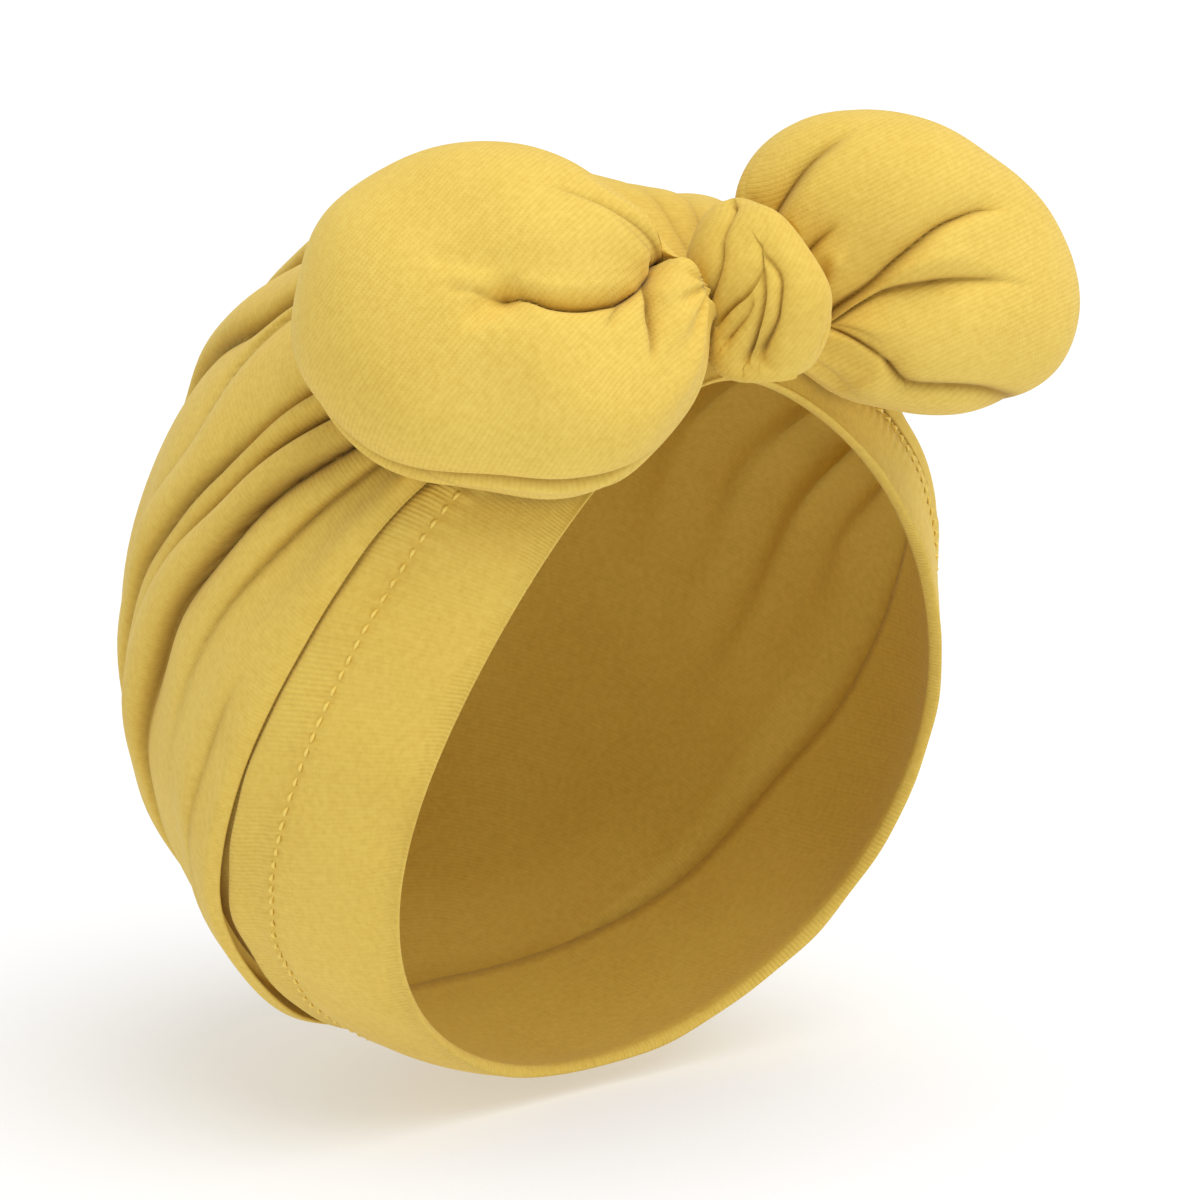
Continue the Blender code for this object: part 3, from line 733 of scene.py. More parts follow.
def closed_tube(loops):
    """Faces of a tube of closed loops, all with the same number of points, capped at both ends."""
    rows, count = loops.shape[:2]
    quads = ring_faces(count, [(row, row + 1) for row in range(rows - 1)])
    ends = np.array([loops[0].mean(axis=0), loops[-1].mean(axis=0)])
    vertices = np.concatenate([loops.reshape(-1, 3), ends])
    start = len(vertices) - 2
    last = (rows - 1) * count
    here = np.arange(count)
    there = (here + 1) % count
    cap_start = np.stack([np.full(count, start), there, here], axis=1)
    cap_end = np.stack([np.full(count, start + 1), last + here, last + there], axis=1)
    return vertices, quads, np.concatenate([cap_start, cap_end])


def rounded_edge(outer, inner, reach=None):
    """Half round from the outer layer to the inner one, as far out as reach or as half their gap."""
    middle = 0.5 * (outer + inner)
    half = 0.5 * (outer - inner)
    if reach is None:
        reach = np.linalg.norm(half, axis=-1, keepdims=True)
    out = opening_axis() * reach
    steps = np.radians(ROLL_STEPS_DEG)
    return np.stack([middle + half * np.cos(step) + out * np.sin(step) for step in steps], axis=1)


def make_piece(name, vertices, quads, flat, material, triangles=None, ribs=None, painted_shade=None):
    """Make an object from points and faces, with the cloth's flat coordinates as its UV map.

    A second map holds the way along the hem's ribs and how strongly they show, and a third the painted
    shade in the creases and seams.
    """
    data = bpy.data.meshes.new(name)
    faces = quads.tolist()
    if triangles is not None:
        faces = faces + triangles.tolist()
    data.from_pydata(vertices.tolist(), [], faces)
    corners = np.empty(len(data.loops), dtype=np.int32)
    data.loops.foreach_get("vertex_index", corners)
    if painted_shade is None:
        painted_shade = np.zeros(len(flat))
    creased = np.stack([painted_shade, np.zeros(len(painted_shade))], axis=1)
    for map_name, values in (("cloth", flat), ("ribs", ribs), ("creased", creased)):
        if values is not None:
            layer = data.uv_layers.new(name=map_name)
            layer.data.foreach_set("uv", values[corners].astype(np.float32).ravel())
    data.validate()
    data.shade_smooth()
    data.materials.append(material)
    piece = bpy.data.objects.new(name, data)
    bpy.context.collection.objects.link(piece)
    return piece


def add_crown(material):
    """The crown, as two layers joined by a rounded front fold."""
    shares = spread_columns(CROWN_COLUMNS)
    inner_shares = spread_columns(CROWN_INNER_COLUMNS)
    way = np.linspace(0.0, 1.0, CROWN_ROWS)
    way = way - TURN_CROWDING * np.sin(np.pi * way) ** 2 * (1.0 - way)
    turns = FIRST_TURN + TURN_RANGE * way
    grid, turn_grid = np.meshgrid(shares, turns)
    inner_grid, inner_turns = np.meshgrid(inner_shares, turns)
    right_outer, _, right_painted_shade = crown_points(grid, turn_grid, -1.0)
    left_outer, _, left_painted_shade = crown_points(grid, turn_grid, 1.0)
    _, right_inner, _ = crown_points(inner_grid, inner_turns, -1.0)
    _, left_inner, _ = crown_points(inner_grid, inner_turns, 1.0)

    right_roll = rounded_edge(right_outer[:, 0], right_inner[:, 0])
    left_roll = rounded_edge(left_outer[:, 0], left_inner[:, 0])
    loops = np.concatenate([
        right_outer, left_outer[:, -2::-1], left_roll,
        left_inner, right_inner[:, -2::-1], right_roll[:, ::-1],
    ], axis=1)
    vertices, quads, caps = closed_tube(loops)

    roll = np.zeros((len(turns), len(ROLL_STEPS_DEG)))
    across = np.concatenate([
        grid, 2.0 - grid[:, -2::-1], 2.0 + roll, 2.0 - inner_grid, inner_grid[:, -2::-1], roll,
    ], axis=1) * CROWN_ACROSS
    along = np.repeat(turns[:, None], loops.shape[1], axis=1) / 180.0 * CROWN_ALONG
    flat = np.stack([along.ravel(), across.ravel()], axis=1)
    flat = np.concatenate([flat, flat[:1], flat[-1:]])
    # Painted shade of the creases, on the outer layers only.
    outside = np.concatenate([right_painted_shade, left_painted_shade[:, -2::-1]], axis=1)
    painted_shade = np.zeros(loops.shape[:2])
    painted_shade[:, :outside.shape[1]] = outside
    painted_shade = np.concatenate([painted_shade.ravel(), np.zeros(2)])
    return make_piece("crown_cloth", vertices, quads, flat, material, triangles=caps, painted_shade=painted_shade)


def stitch_back(round_angle):
    """How far the stitch line lies behind the rim."""
    degrees = np.degrees(np.abs(round_angle))
    right = read_table(STITCH_ANGLES_RIGHT, STITCH_BACK_RIGHT, degrees)
    left = read_table(STITCH_ANGLES_LEFT, STITCH_BACK_LEFT, degrees)
    return np.where(np.asarray(round_angle) < 0.0, right, left)


def crown_edge_back(round_angle):
    """How far the crown's front fold lies behind the rim, all round."""
    turns = np.linspace(0.0, 180.0, CROWN_EDGE_STEPS)
    result = np.zeros_like(round_angle)
    for side in (-1.0, 1.0):
        line = crown_base(np.zeros_like(turns), turns, side)
        radii = form_radii(line)
        angle = np.abs(np.arctan2(line[:, 0] / radii[:, 0], line[:, 2] / radii[:, 2]))
        back = rim_reach(angle) - line @ opening_axis()
        order = np.argsort(angle)
        here = np.interp(np.abs(round_angle), angle[order], back[order])
        result = np.where(np.sign(round_angle) == side, here, result)
    return np.where(result == 0.0, BAND_AT_KNOT, result)


def band_relief(round_angle, back):
    """Height of the band's stitch groove, its puckers and its puff above the form."""
    edge = crown_edge_back(round_angle)
    stitch = stitch_back(round_angle)
    off_stitch = back - stitch
    groove = -STITCH_GROOVE * bell(off_stitch, STITCH_GROOVE_WIDTH)
    to_edge = edge - back
    puff = BAND_PUFF * smooth_step(*PUFF_RISE, to_edge) * (1.0 - smooth_step(*PUFF_FADE, to_edge))
    around = round_angle * BAND_RADIUS
    near_stitch = bell(off_stitch, PUCKER_WIDTH)
    pucker = PUCKER * near_stitch * np.cos(around / STITCH_PITCH * 2.0 * np.pi)
    return groove + puff + pucker


def band_ripple(points):
    """Soft unevenness of the band."""
    return BAND_RIPPLE * ripple(points, BAND_RIPPLE_LENGTH, BAND_SEED)


def rib_strength(round_angle, back):
    """How strongly the hem's ribs show: at the rim, and between the stitches and the crown's fold."""
    off_stitch = back - stitch_back(round_angle)
    to_edge = crown_edge_back(round_angle) - back
    behind_stitch = smooth_step(*HEM_RIB_RISE, off_stitch) * smooth_step(*HEM_RIB_AT_CROWN, to_edge)
    at_rim = 1.0 - smooth_step(*RIM_RIB_FADE, back)
    past_ear = smooth_step(*PAST_EAR_TURNS, np.degrees(np.abs(round_angle)))
    shown = UNDER_EAR_RIB_SHARE + (1.0 - UNDER_EAR_RIB_SHARE) * past_ear
    return np.maximum(HEM_RIB_SHARE * behind_stitch, at_rim) * shown


def add_band(material):
    """The hemmed strip round the face opening, with a rolled rim."""
    angles = -np.pi + 2.0 * np.pi * np.arange(BAND_STEPS) / BAND_STEPS
    edge = crown_edge_back(angles)
    last = edge + np.clip(TUCK_SHARE * edge, TUCK_MIN, TUCK_MAX)
    shares = np.linspace(0.0, 1.0, BAND_COLUMNS)
    shares = shares - RIM_CROWDING * np.sin(2.0 * np.pi * shares) / (2.0 * np.pi)
    angle_grid = np.repeat(angles[:, None], BAND_COLUMNS, axis=1)
    back_grid = shares[None, :] * last[:, None]
    outer = behind_rim(angle_grid, back_grid)
    outward = form_outward(outer)
    shown = smooth_step(*UNDER_CROWN, edge[:, None] - back_grid)
    relief = (band_relief(angle_grid, back_grid) + band_ripple(outer)) * shown
    outer = outer + outward * relief[..., None]

    inner_shares = np.linspace(0.0, 1.0, BAND_INNER_COLUMNS)
    inner_angles = np.repeat(angles[:, None], BAND_INNER_COLUMNS, axis=1)
    inner = behind_rim(inner_angles, inner_shares[None, :] * last[:, None])
    inner = inner - form_outward(inner) * BAND_WALL
    roll = rounded_edge(outer[:, 0], inner[:, 0], RIM_ROLL)
    loops = np.concatenate([outer, inner[:, ::-1], roll[:, ::-1]], axis=1)

    count = loops.shape[1]
    quads = ring_faces(count, [(step, (step + 1) % BAND_STEPS) for step in range(BAND_STEPS)])
    around = np.repeat(angles[:, None] * BAND_RADIUS, count, axis=1)
    across = np.concatenate([
        back_grid, np.repeat(last[:, None], BAND_INNER_COLUMNS, axis=1), np.zeros(roll.shape[:2]),
    ], axis=1)
    flat = np.stack([around.ravel(), across.ravel()], axis=1)
    ribbed = rib_strength(np.repeat(angles[:, None], count, axis=1), across)
    ribs = np.stack([around.ravel(), ribbed.ravel()], axis=1)
    return make_piece("band_cloth", loops.reshape(-1, 3), quads, flat, material, ribs=ribs)


def add_stitches(material):
    """The thread of the hem: short raised dashes in one row round the band."""
    fine = np.linspace(-np.pi, np.pi, STITCH_LINE_STEPS)
    line = behind_rim(fine, stitch_back(fine))
    length = np.concatenate([[0.0], np.cumsum(np.linalg.norm(np.diff(line, axis=0), axis=1))])
    count = int(length[-1] / STITCH_PITCH)
    centres = (np.arange(count) + 0.5) * length[-1] / count
    rings = STITCH_RINGS
    sides = STITCH_SIDES
    vertices = []
    faces = []
    flat = []
    for centre in centres:
        spots = centre + STITCH_LENGTH * np.linspace(-0.5, 0.5, rings)
        angle = np.interp(spots, length, fine)
        base = behind_rim(angle, stitch_back(angle))
        outward = form_outward(base)
        arch = np.cos(np.linspace(-0.5, 0.5, rings) * np.pi) ** STITCH_BLUNTNESS
        cloth = band_relief(angle, stitch_back(angle)) + band_ripple(base)
        height = cloth + STITCH_GROOVE + STITCH_RADIUS * (STITCH_ARCH * arch - STITCH_SINK)
        base = base + outward * height[:, None]
        along = unit(np.gradient(base, axis=0))
        beside = unit(np.cross(along, outward))
        first = len(vertices)
        for ring in range(rings):
            size = STITCH_RADIUS * max(arch[ring], STITCH_END_SHARE)
            for side in range(sides):
                turn = 2.0 * np.pi * side / sides
                offset = outward[ring] * np.sin(turn) + beside[ring] * np.cos(turn)
                vertices.append(base[ring] + offset * size)
                flat.append((spots[ring], side * STITCH_MAP_STEP))
        for ring in range(rings - 1):
            for side in range(sides):
                here = first + ring * sides + side
                there = first + ring * sides + (side + 1) % sides
                faces.append((here, there, there + sides, here + sides))
    return make_piece("hem_stitches", np.array(vertices), np.array(faces), np.array(flat), material)


def knot_frame():
    """Centre of the knot, and its directions along the bow, up the wrap and out from the head."""
    top, _ = fold_poles()
    out = form_outward(top)
    seat = COVER_CLEARANCE + CROWN_WALL + SOFT_CLEARANCE
    along = np.array([1.0, 0.0, 0.0])
    up = np.cross(out, along)
    up = up * np.sign(up[2])
    return top + out * (seat + KNOT_HALF_DEPTH), np.array([along, up, out])


def keep_off_form(points, clear):
    """Push points out until they clear the crown's surface."""
    for _ in range(FORM_PASSES):
        level = form_level(points)
        slope = np.linalg.norm(points / form_radii(points) ** 2, axis=-1) / level
        height = (level - 1.0) / slope
        push = np.maximum(clear - height, 0.0)
        points = points + form_outward(points) * push[..., None]
    return points


def keep_off_knot(points):
    """Push points out until they clear the knot's full shape."""
    centre, axes = knot_frame()
    sizes = np.array([KNOT_HALF_LENGTH, KNOT_HALF_HEIGHT, KNOT_HALF_DEPTH])
    local = (points - centre) @ axes.T
    level = np.linalg.norm(local / sizes, axis=-1)
    return centre + (local / np.minimum(level, 1.0)[..., None]) @ axes


def ball(cuts):
    """Directions and faces of a ball made from a cube cut into a grid."""
    steps = np.tan(0.25 * np.pi * np.linspace(-1.0, 1.0, cuts + 1))
    points = []
    faces = []
    for axis in range(3):
        for sign in (-1.0, 1.0):
            first, second = np.meshgrid(steps, steps, indexing="ij")
            face = np.empty(first.shape + (3,))
            face[..., axis] = sign
            face[..., (axis + 1) % 3] = first * sign
            face[..., (axis + 2) % 3] = second
            start = len(points) * (cuts + 1) ** 2
            points.append(face.reshape(-1, 3))
            index = np.arange((cuts + 1) ** 2).reshape(cuts + 1, cuts + 1) + start
            quad = np.stack([index[:-1, :-1], index[1:, :-1], index[1:, 1:], index[:-1, 1:]], axis=-1)
            faces.append(quad.reshape(-1, 4))
    points = np.concatenate(points)
    faces = np.concatenate(faces)
    keys = np.round(points * 1e6).astype(np.int64)
    _, chosen, inverse = np.unique(keys, axis=0, return_index=True, return_inverse=True)
    return unit(points[chosen]), inverse.ravel()[faces]


def smooth_line(points, count):
    """Many points on a smooth curve through a few."""
    points = np.array(points, dtype=float)
    padded = np.concatenate([[2.0 * points[0] - points[1]], points, [2.0 * points[-1] - points[-2]]])
    result = []
    for index in range(len(points) - 1):
        before, start, end, after = padded[index:index + 4]
        for share in np.linspace(0.0, 1.0, count, endpoint=False):
            one = 2.0 * start
            two = (end - before) * share
            three = (2.0 * before - 5.0 * start + 4.0 * end - after) * share ** 2
            four = (3.0 * start - before - 3.0 * end + after) * share ** 3
            result.append(0.5 * (one + two + three + four))
    result.append(points[-1])
    return np.array(result)


def near_line(places, line):
    """Signed distance of flat places from a line, the share of the way along it, and its side."""
    best = np.full(len(places), 1e9)
    signed = np.zeros(len(places))
    way = np.zeros(len(places))
    across = np.zeros((len(places), 2))
    lengths = np.linalg.norm(np.diff(line, axis=0), axis=1)
    starts = np.concatenate([[0.0], np.cumsum(lengths)])
    for index in range(len(line) - 1):
        step = line[index + 1] - line[index]
        offset = places - line[index]
        share = np.clip(offset @ step / (step @ step), 0.0, 1.0)
        gap = offset - share[:, None] * step
        distance = np.linalg.norm(gap, axis=1)
        closer = distance < best
        side = np.sign(step[0] * offset[:, 1] - step[1] * offset[:, 0])
        best = np.where(closer, distance, best)
        signed = np.where(closer, distance * side, signed)
        way = np.where(closer, (starts[index] + share * lengths[index]) / starts[-1], way)
        normal = np.array([-step[1], step[0]]) / lengths[index]
        across = np.where(closer[:, None], normal, across)
    return signed, way, across


def crease_moves(places, creases, scale):
    """Depth of creases at flat places, how far the cloth above leans over each, and the painted shade
    along them.
    """
    cubed = np.zeros(len(places))
    lean = np.zeros_like(places)
    painted_shade = np.zeros(len(places))
    for start_depth, end_depth, above, below, overhang, points in creases:
        line = smooth_line(points, CURVE_STEPS) * scale
        signed, way, across = near_line(places, line)
        distance = np.abs(signed)
        widening = CREASE_WIDTH_AT_END + CREASE_WIDTH_GAIN * (1.0 - way)
        half_width = np.where(signed > 0.0, above, below) * widening
        narrow = min(above, below) < SOFT_VALLEY_WIDTH
        power = NARROW_POWER if narrow else WIDE_POWER
        here = start_depth + (end_depth - start_depth) * way ** CREASE_FADE_POWER
        cubed = cubed + (here * np.exp(-(distance / half_width) ** power)) ** 3
        pull = overhang * here / start_depth * np.exp(-(distance / (LEAN_WIDTHS * half_width)) ** 2)
        pull = np.minimum(pull, LEAN_MAX_SHARE * distance) * (signed > 0.0)
        lean = lean - across * pull[:, None]
        # Painted shade: a dark line along each narrow crease, fading near its end.
        if narrow:
            line_painted_shade = np.exp(-(distance / CREASE_PAINTED_SHADE_WIDTH) ** PAINTED_SHADE_POWER)
            line_painted_shade = line_painted_shade * np.minimum(here / CREASE_PAINTED_SHADE_DEPTH, 1.0)
            painted_shade = np.maximum(painted_shade, line_painted_shade * smooth_step(0.0, PAINTED_SHADE_FADE_SHARE, 1.0 - way))
    return np.cbrt(cubed), lean, painted_shade


def lobe_height(places, lobes, scale):
    """Height of soft swellings at flat places."""
    height = np.zeros(len(places))
    for away, up, half_length, half_height, rise in lobes:
        offset = (places / scale - np.array([away, up])) / np.array([half_length, half_height])
        height = height + rise * np.exp(-(offset ** 2).sum(axis=1))
    return height


def ear_frame(offset, facing):
    """Centre of an ear, and its directions away from the knot, up and to its front."""
    knot_centre, _ = knot_frame()
    centre = knot_centre + np.array(offset)
    front = unit(facing)
    away = np.array(offset) - front * np.dot(offset, front)
    away = unit(away)
    up = np.cross(front, away)
    up = up * np.sign(up[2])
    return centre, np.array([away, up, front])


def outline_reach(outline, angle_deg):
    """Read an ear's outline table at any angle."""
    angles = np.array([row[0] for row in outline], dtype=float)
    reaches = np.array([row[1] for row in outline])
    angles = np.concatenate([angles - 360.0, angles, angles + 360.0])
    return read_table(angles, np.tile(reaches, 3), angle_deg)


def seam_shape(flat, directions, angle, ear):
    """Height of the ear's seam and the painted shade along it: along a line on its front, or else round
    its edge.

    The painted shade runs on a little further than the groove does.
    """
    if ear["seam"]:
        line = smooth_line(ear["seam"], CURVE_STEPS) * ear["reach"]
        signed, way, _ = near_line(flat, line)
        start = smooth_step(0.0, FRONT_SEAM_RISE, way) * smooth_step(*FRONT_SEAM_SIDE, directions[:, 2])
        ends = start * smooth_step(0.0, FRONT_SEAM_PAINTED_SHADE_FADE, 1.0 - way)
        deep = start * smooth_step(0.0, FRONT_SEAM_FADE, 1.0 - way)
    else:
        level = read_table(EDGE_SEAM_ANGLES, EDGE_SEAM_LEVELS, angle)
        signed = (directions[:, 2] - level) * ear["half_thickness"]
        ends = smooth_step(*EDGE_SEAM_START_DEG, angle) * (1.0 - smooth_step(*EDGE_SEAM_END_DEG, angle))
        deep = ends
    groove = SEAM_DEPTH * np.exp(-np.abs(signed) / SEAM_WIDTH)
    lip = SEAM_LIP * np.exp(-((signed + SEAM_LIP_AWAY) / SEAM_LIP_WIDTH) ** 2)
    # Painted shade along the seam's groove.
    painted_shade = SEAM_PAINTED_SHADE * np.exp(-(np.abs(signed) / CREASE_PAINTED_SHADE_WIDTH) ** PAINTED_SHADE_POWER) * ends
    return (lip - groove) * deep, painted_shade


def ear_surface(directions, ear):
    """Surface of a stuffed ear with its creases, pinch, seam and gathers."""
    angle = np.degrees(np.arctan2(directions[:, 1], directions[:, 0]))
    spread = np.hypot(directions[:, 0], directions[:, 1])
    planar = directions[:, :2] / np.maximum(spread, 1e-9)[:, None] * (spread ** EAR_FULLNESS)[:, None]
    at_knot = smooth_step(0.0, 1.0, -planar[:, 0]) * bell(planar[:, 1], EAR_NECK_HALF_HEIGHT)
    swell = np.sign(directions[:, 2]) * np.abs(directions[:, 2]) ** EAR_FULLNESS
    thickness = ear["half_thickness"] * swell * (1.0 - EAR_NECK_SHARE * at_knot)
    flat = planar * (ear["reach"] * outline_reach(ear["outline"], angle))[:, None]
    local = np.concatenate([flat, thickness[:, None]], axis=1)
    tail = smooth_step(*EAR_TAIL_TO_KNOT, -planar[:, 0]) * smooth_step(*EAR_TAIL_BEHIND, directions[:, 2])
    tail = tail * smooth_step(*EAR_TAIL_BELOW, planar[:, 1])
    local[:, 0] = local[:, 0] - ear["tail"] * tail
    outward = unit(local / np.array([ear["reach"], ear["reach"], ear["half_thickness"]]) ** 2)

    front = smooth_step(EAR_FRONT_FROM, EAR_FRONT_FULL, directions[:, 2])
    back = smooth_step(-EAR_FRONT_FROM, -EAR_FRONT_FULL, directions[:, 2])
    front_depth, front_lean, front_painted_shade = crease_moves(flat, ear["creases"], ear["reach"])
    back_depth, back_lean, back_painted_shade = crease_moves(flat, EAR_BACK_CREASES, ear["reach"])
    sink = front * front_depth + back * back_depth
    # Painted shade along the creases of the front and back; the seam's is added below.
    painted_shade = front * front_painted_shade + back * back_painted_shade
    lean = front[:, None] * front_lean + back[:, None] * back_lean
    inward = outward * EAR_SINK_SPREAD
    inward[:, 2] = inward[:, 2] + front - back
    inward = unit(inward)

    seam_height, seam_painted_shade = seam_shape(flat, directions, angle, ear)
    painted_shade = np.maximum(painted_shade, seam_painted_shade)

    around = np.arctan2(local[:, 2], local[:, 1])
    gather = smooth_step(EAR_GATHER_FROM, EAR_GATHER_FULL, planar[:, 0])
    pleats = np.cos(EAR_GATHER_COUNT * around + 1.3 * np.sin(3.0 * around + ear["seed"]))
    gathers = EAR_GATHER * gather * pleats
    lobes = front * lobe_height(flat, ear["lobes"], ear["reach"])
    lobes = lobes + back * lobe_height(flat, EAR_BACK_LOBES, ear["reach"])
    soft = EAR_UNEVEN * ripple(local, EAR_UNEVEN_LENGTH, ear["seed"])
    height = seam_height + gathers + lobes + soft
    local = local + outward * height[:, None] - inward * sink[:, None]
    local[:, :2] = local[:, :2] + lean
    return local, flat, painted_shade


def turned(flat, degrees):
    """Flat coordinates across and along lines that run at an angle."""
    lines = np.radians(degrees)
    across = flat[:, 1] * np.cos(lines) - flat[:, 0] * np.sin(lines)
    along = flat[:, 0] * np.cos(lines) + flat[:, 1] * np.sin(lines)
    return across, along


def add_ear(name, ear, material):
    """One stuffed ear of the bow."""
    directions, quads = ball(EAR_CUTS)
    centre, axes = ear_frame(ear["offset"], ear["facing"])
    local, flat, painted_shade = ear_surface(directions, ear)
    points = centre + local @ axes
    clear = COVER_CLEARANCE + CROWN_WALL
    for _ in range(CLEARING_PASSES):
        points = keep_off_knot(keep_off_form(points, clear))
    across, along = turned(flat, ear["wale_deg"])

    def unrolled(value):
        """Length along the swelled surface for a length across the flat ear."""
        size = EAR_SWELL_REACH * ear["reach"]
        share = np.clip(value / size, -1.0, 1.0)
        return value + EAR_SWELL_SHARE * size * (np.arcsin(share) - share)

    side = np.where(directions[:, 2] < 0.0, EAR_BACK_MAP_SHIFT, 0.0)
    cloth = np.stack([unrolled(across) + side, unrolled(along)], axis=1)
    return make_piece(name, points, quads, cloth, material, painted_shade=painted_shade)


def knot_surface(directions):
    """Surface of the knot: a wrapped egg with overlapping folds, and the painted shade along its creases.
    """
    sizes = np.array([KNOT_HALF_LENGTH, KNOT_HALF_HEIGHT, KNOT_HALF_DEPTH])
    local = directions * sizes
    outward = unit(local / sizes ** 2)
    angle = np.arctan2(directions[:, 0], directions[:, 2])
    scale = np.array([0.5 * (KNOT_HALF_LENGTH + KNOT_HALF_DEPTH), KNOT_HALF_HEIGHT])
    places = np.stack([angle, directions[:, 1]], axis=1) * scale
    depth, lean, painted_shade = crease_moves(places, KNOT_CREASES, scale)
    off_pole = smooth_step(*KNOT_POLE, np.abs(directions[:, 1]))
    up = directions[:, 1]
    bulge = np.zeros(len(directions))
    for at_angle, at_height, half_turn, half_height, rise in KNOT_LOBES:
        away = ((angle - at_angle) / half_turn) ** 2 + ((up - at_height) / half_height) ** 2
        bulge = bulge + rise * np.exp(-away)
    soft = KNOT_UNEVEN * ripple(local, KNOT_UNEVEN_LENGTH, KNOT_SEED)
    local = local + outward * (soft + bulge - off_pole * depth)[:, None]
    lean = off_pole[:, None] * lean
    local[:, 0] = local[:, 0] + lean[:, 0] * np.cos(angle)
    local[:, 1] = local[:, 1] + lean[:, 1]
    local[:, 2] = local[:, 2] - lean[:, 0] * np.sin(angle)
    return local, off_pole * painted_shade


def add_knot(material):
    """The tied wrap at the top of the face opening."""
    directions, quads = ball(KNOT_CUTS)
    centre, axes = knot_frame()
    local, painted_shade = knot_surface(directions)
    points = keep_off_form(centre + local @ axes, COVER_CLEARANCE + CROWN_WALL)
    flat = np.stack(turned(local, KNOT_WALE_DEG), axis=1)
    return make_piece("knot_cloth", points, quads, flat, material, painted_shade=painted_shade)


def new_material(name, surface):
    """Material with one shader, whose inputs are set as given."""
    material = bpy.data.materials.new(name)
    material.use_nodes = True
    shader = material.node_tree.nodes["Principled BSDF"]
    for socket, value in surface.items():
        shader.inputs[socket].default_value = value
    return material, shader


def jersey(name, wale_strength, tint, ribbed=False):
    """Cotton jersey: fine knit lines with small stitches in them, a soft nap, uneven dye, painted shade in
    the knit's grooves and painted shade in the creases and seams.
    """
    material, shader = new_material(name, JERSEY_SURFACE)
    nodes = material.node_tree.nodes
    links = material.node_tree.links

    def maths(kind, first, second=None):
        node = nodes.new("ShaderNodeMath")
        node.operation = kind
        for slot, value in zip(node.inputs, (first, second)):
            if value is None:
                continue
            if isinstance(value, (int, float)):
                slot.default_value = value
            else:
                links.new(value, slot)
        return node.outputs[0]

    def noise(scale, detail):
        node = nodes.new("ShaderNodeTexNoise")
        node.inputs["Scale"].default_value = scale
        node.inputs["Detail"].default_value = detail
        place = nodes.new("ShaderNodeTexCoord")
        links.new(place.outputs["Object"], node.inputs["Vector"])
        return node.outputs["Fac"]

    def stored(map_name):
        """The two numbers that one of the piece's maps holds."""
        source = nodes.new("ShaderNodeUVMap")
        source.uv_map = map_name
        parts = nodes.new("ShaderNodeSeparateXYZ")
        links.new(source.outputs["UV"], parts.inputs[0])
        return parts.outputs["X"], parts.outputs["Y"]

    def zigzag(value):
        """Fall from 1 to 0 and rise to 1 again, once in each whole number."""
        return maths("MULTIPLY", maths("ABSOLUTE", maths("SUBTRACT", maths("FRACT", value), 0.5)), 2.0)

    def dyed(colour):
        """The colour with the part's tint."""
        return tuple(value * factor for value, factor in zip(colour, tint)) + (1.0,)

    cloth_across, cloth_along = stored("cloth")
    wander = maths("MULTIPLY", maths("SUBTRACT", noise(WANDER_SCALE, 2.0), 0.5), WANDER)
    wale = zigzag(maths("DIVIDE", maths("ADD", cloth_across, wander), WALE_PITCH))
    along = maths("DIVIDE", cloth_along, COURSE_PITCH)
    course = zigzag(maths("ADD", along, maths("MULTIPLY", wale, 0.5)))
    gap = maths("POWER", wale, GAP_POWER)
    loop = maths("ADD", maths("MULTIPLY", course, COURSE_HEIGHT), maths("MULTIPLY", gap, GAP_HEIGHT))
    strength = maths("MULTIPLY", maths("ADD", noise(PATCH_SCALE, 3.0), PATCH_BASE), wale_strength)
    knit = maths("MULTIPLY", loop, strength)
    nap = maths("MULTIPLY", maths("SUBTRACT", noise(NAP_SCALE, 3.0), 0.5), NAP_HEIGHT)
    height = maths("ADD", knit, nap)
    if ribbed:
        around, shown = stored("ribs")
        turns = maths("DIVIDE", around, RIB_PITCH / (2.0 * np.pi))
        rib = maths("MULTIPLY", maths("SINE", turns), shown)
        height = maths("ADD", height, maths("MULTIPLY", rib, RIB_HEIGHT))
        knit = maths("ADD", knit, maths("MULTIPLY", rib, RIB_GROOVE_PAINTED_SHADE))

    bump = nodes.new("ShaderNodeBump")
    bump.inputs["Strength"].default_value = BUMP_STRENGTH
    bump.inputs["Distance"].default_value = BUMP_DISTANCE
    links.new(height, bump.inputs["Height"])
    links.new(bump.outputs["Normal"], shader.inputs["Normal"])

    broad = maths("MULTIPLY", noise(BROAD_DYE_SCALE, 3.0), BROAD_DYE)
    fine = maths("MULTIPLY", noise(FINE_DYE_SCALE, 2.0), FINE_DYE)
    # Uneven dye, with painted shade in the knit's and ribs' grooves.
    dye_and_groove_shade = maths("ADD", maths("ADD", broad, fine), maths("MULTIPLY", knit, KNIT_GROOVE_PAINTED_SHADE))
    ramp = nodes.new("ShaderNodeValToRGB")
    stops = ramp.color_ramp.elements
    stops[0].position = DARK_STOP
    stops[0].color = dyed(JERSEY_DARK)
    stops[1].position = LIGHT_STOP
    stops[1].color = dyed(JERSEY_LIGHT)
    stops.new(MIDDLE_STOP).color = dyed(JERSEY)
    links.new(dye_and_groove_shade, ramp.inputs["Fac"])
    # Painted shade in the creases and seams, multiplied into the colour.
    painted_shade_mix = nodes.new("ShaderNodeMixRGB")
    painted_shade_mix.blend_type = "MULTIPLY"
    painted_shade_mix.inputs["Color2"].default_value = PAINTED_CREASE_SHADE + (1.0,)
    links.new(stored("creased")[0], painted_shade_mix.inputs["Fac"])
    links.new(ramp.outputs["Color"], painted_shade_mix.inputs["Color1"])
    links.new(painted_shade_mix.outputs["Color"], shader.inputs["Base Color"])
    return material


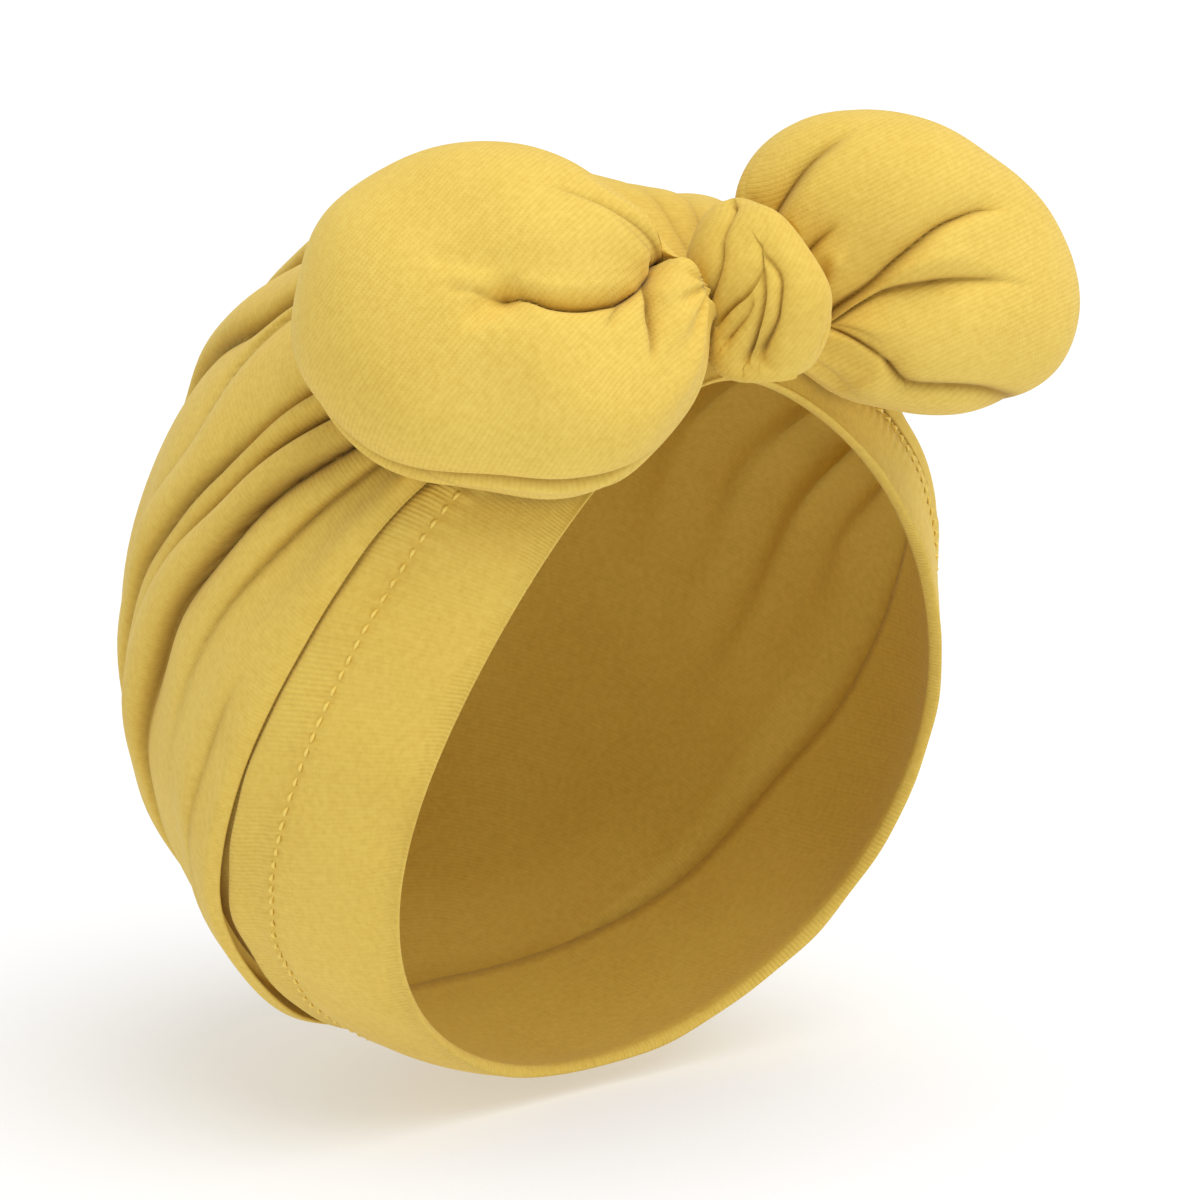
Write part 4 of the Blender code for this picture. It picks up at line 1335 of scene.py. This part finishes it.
def thread(name):
    """Sewing thread, a little lighter and smoother than the cloth."""
    material, shader = new_material(name, THREAD_SURFACE)
    nodes = material.node_tree.nodes
    links = material.node_tree.links
    place = nodes.new("ShaderNodeTexCoord")
    fibre = nodes.new("ShaderNodeTexNoise")
    fibre.inputs["Scale"].default_value = THREAD_SCALE
    links.new(place.outputs["Object"], fibre.inputs["Vector"])
    ramp = nodes.new("ShaderNodeValToRGB")
    ramp.color_ramp.elements[0].color = THREAD_DARK
    ramp.color_ramp.elements[1].color = THREAD_LIGHT
    links.new(fibre.outputs["Fac"], ramp.inputs["Fac"])
    links.new(ramp.outputs["Color"], shader.inputs["Base Color"])
    return material


def plain_floor():
    """A pale floor a little below the hat, which glows a little so that it stays white."""
    bpy.ops.mesh.primitive_plane_add(size=FLOOR_SIZE, location=(0.0, 0.0, FLOOR_HEIGHT))
    floor = bpy.context.object
    floor.name = "floor"
    material, _ = new_material("floor_white", FLOOR_SURFACE)
    floor.data.materials.append(material)


def light_scene():
    """Bright white surroundings and one very soft light from above, a little in front."""
    scene = bpy.context.scene
    scene.view_settings.view_transform = "Standard"
    world = bpy.data.worlds.new("studio")
    world.use_nodes = True
    background = world.node_tree.nodes["Background"]
    background.inputs["Color"].default_value = WORLD_COLOUR
    background.inputs["Strength"].default_value = WORLD_STRENGTH
    scene.world = world
    data = bpy.data.lights.new("key", "SUN")
    data.energy = KEY_STRENGTH
    data.angle = np.radians(KEY_WIDTH_DEG)
    data.color = KEY_COLOUR
    lamp = bpy.data.objects.new("key", data)
    lamp.rotation_mode = "QUATERNION"
    lamp.rotation_quaternion = Vector(KEY_DIRECTION).to_track_quat("Z", "Y")
    bpy.context.collection.objects.link(lamp)


def add_camera():
    """The photograph's view."""
    data = bpy.data.cameras.new("photo_view")
    data.lens = CAMERA_LENS
    data.sensor_width = SENSOR
    data.clip_start = NEAR_CLIP
    camera = bpy.data.objects.new("photo_view", data)
    camera.location = CAMERA_PLACE
    away = Vector(CAMERA_PLACE) - Vector(CAMERA_TARGET)
    camera.rotation_mode = "QUATERNION"
    camera.rotation_quaternion = away.to_track_quat("Z", "Y")
    bpy.context.collection.objects.link(camera)
    bpy.context.scene.camera = camera


def dress():
    """Make every piece, attach it to the root and hide the CAD part it replaces."""
    crown = add_crown(jersey("crown_knit", *CROWN_KNIT))
    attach(crown, "root")
    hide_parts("crown")

    band = add_band(jersey("band_knit", *BAND_KNIT, ribbed=True))
    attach(band, "root")
    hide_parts("front_band")

    stitches = add_stitches(thread("hem_thread"))
    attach(stitches, "root")

    knot = add_knot(jersey("knot_knit", *KNOT_KNIT))
    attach(knot, "root")
    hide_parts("knot")

    ear_material = jersey("ear_knit", *EAR_KNIT)
    ears = (
        ("ear_right_cloth", EAR_RIGHT, "bow_ear_right"),
        ("ear_left_cloth", EAR_LEFT, "bow_ear_left"),
    )
    for name, ear, node in ears:
        piece = add_ear(name, ear, ear_material)
        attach(piece, "root")
        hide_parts(node)


plain_floor()
light_scene()
add_camera()
dress()
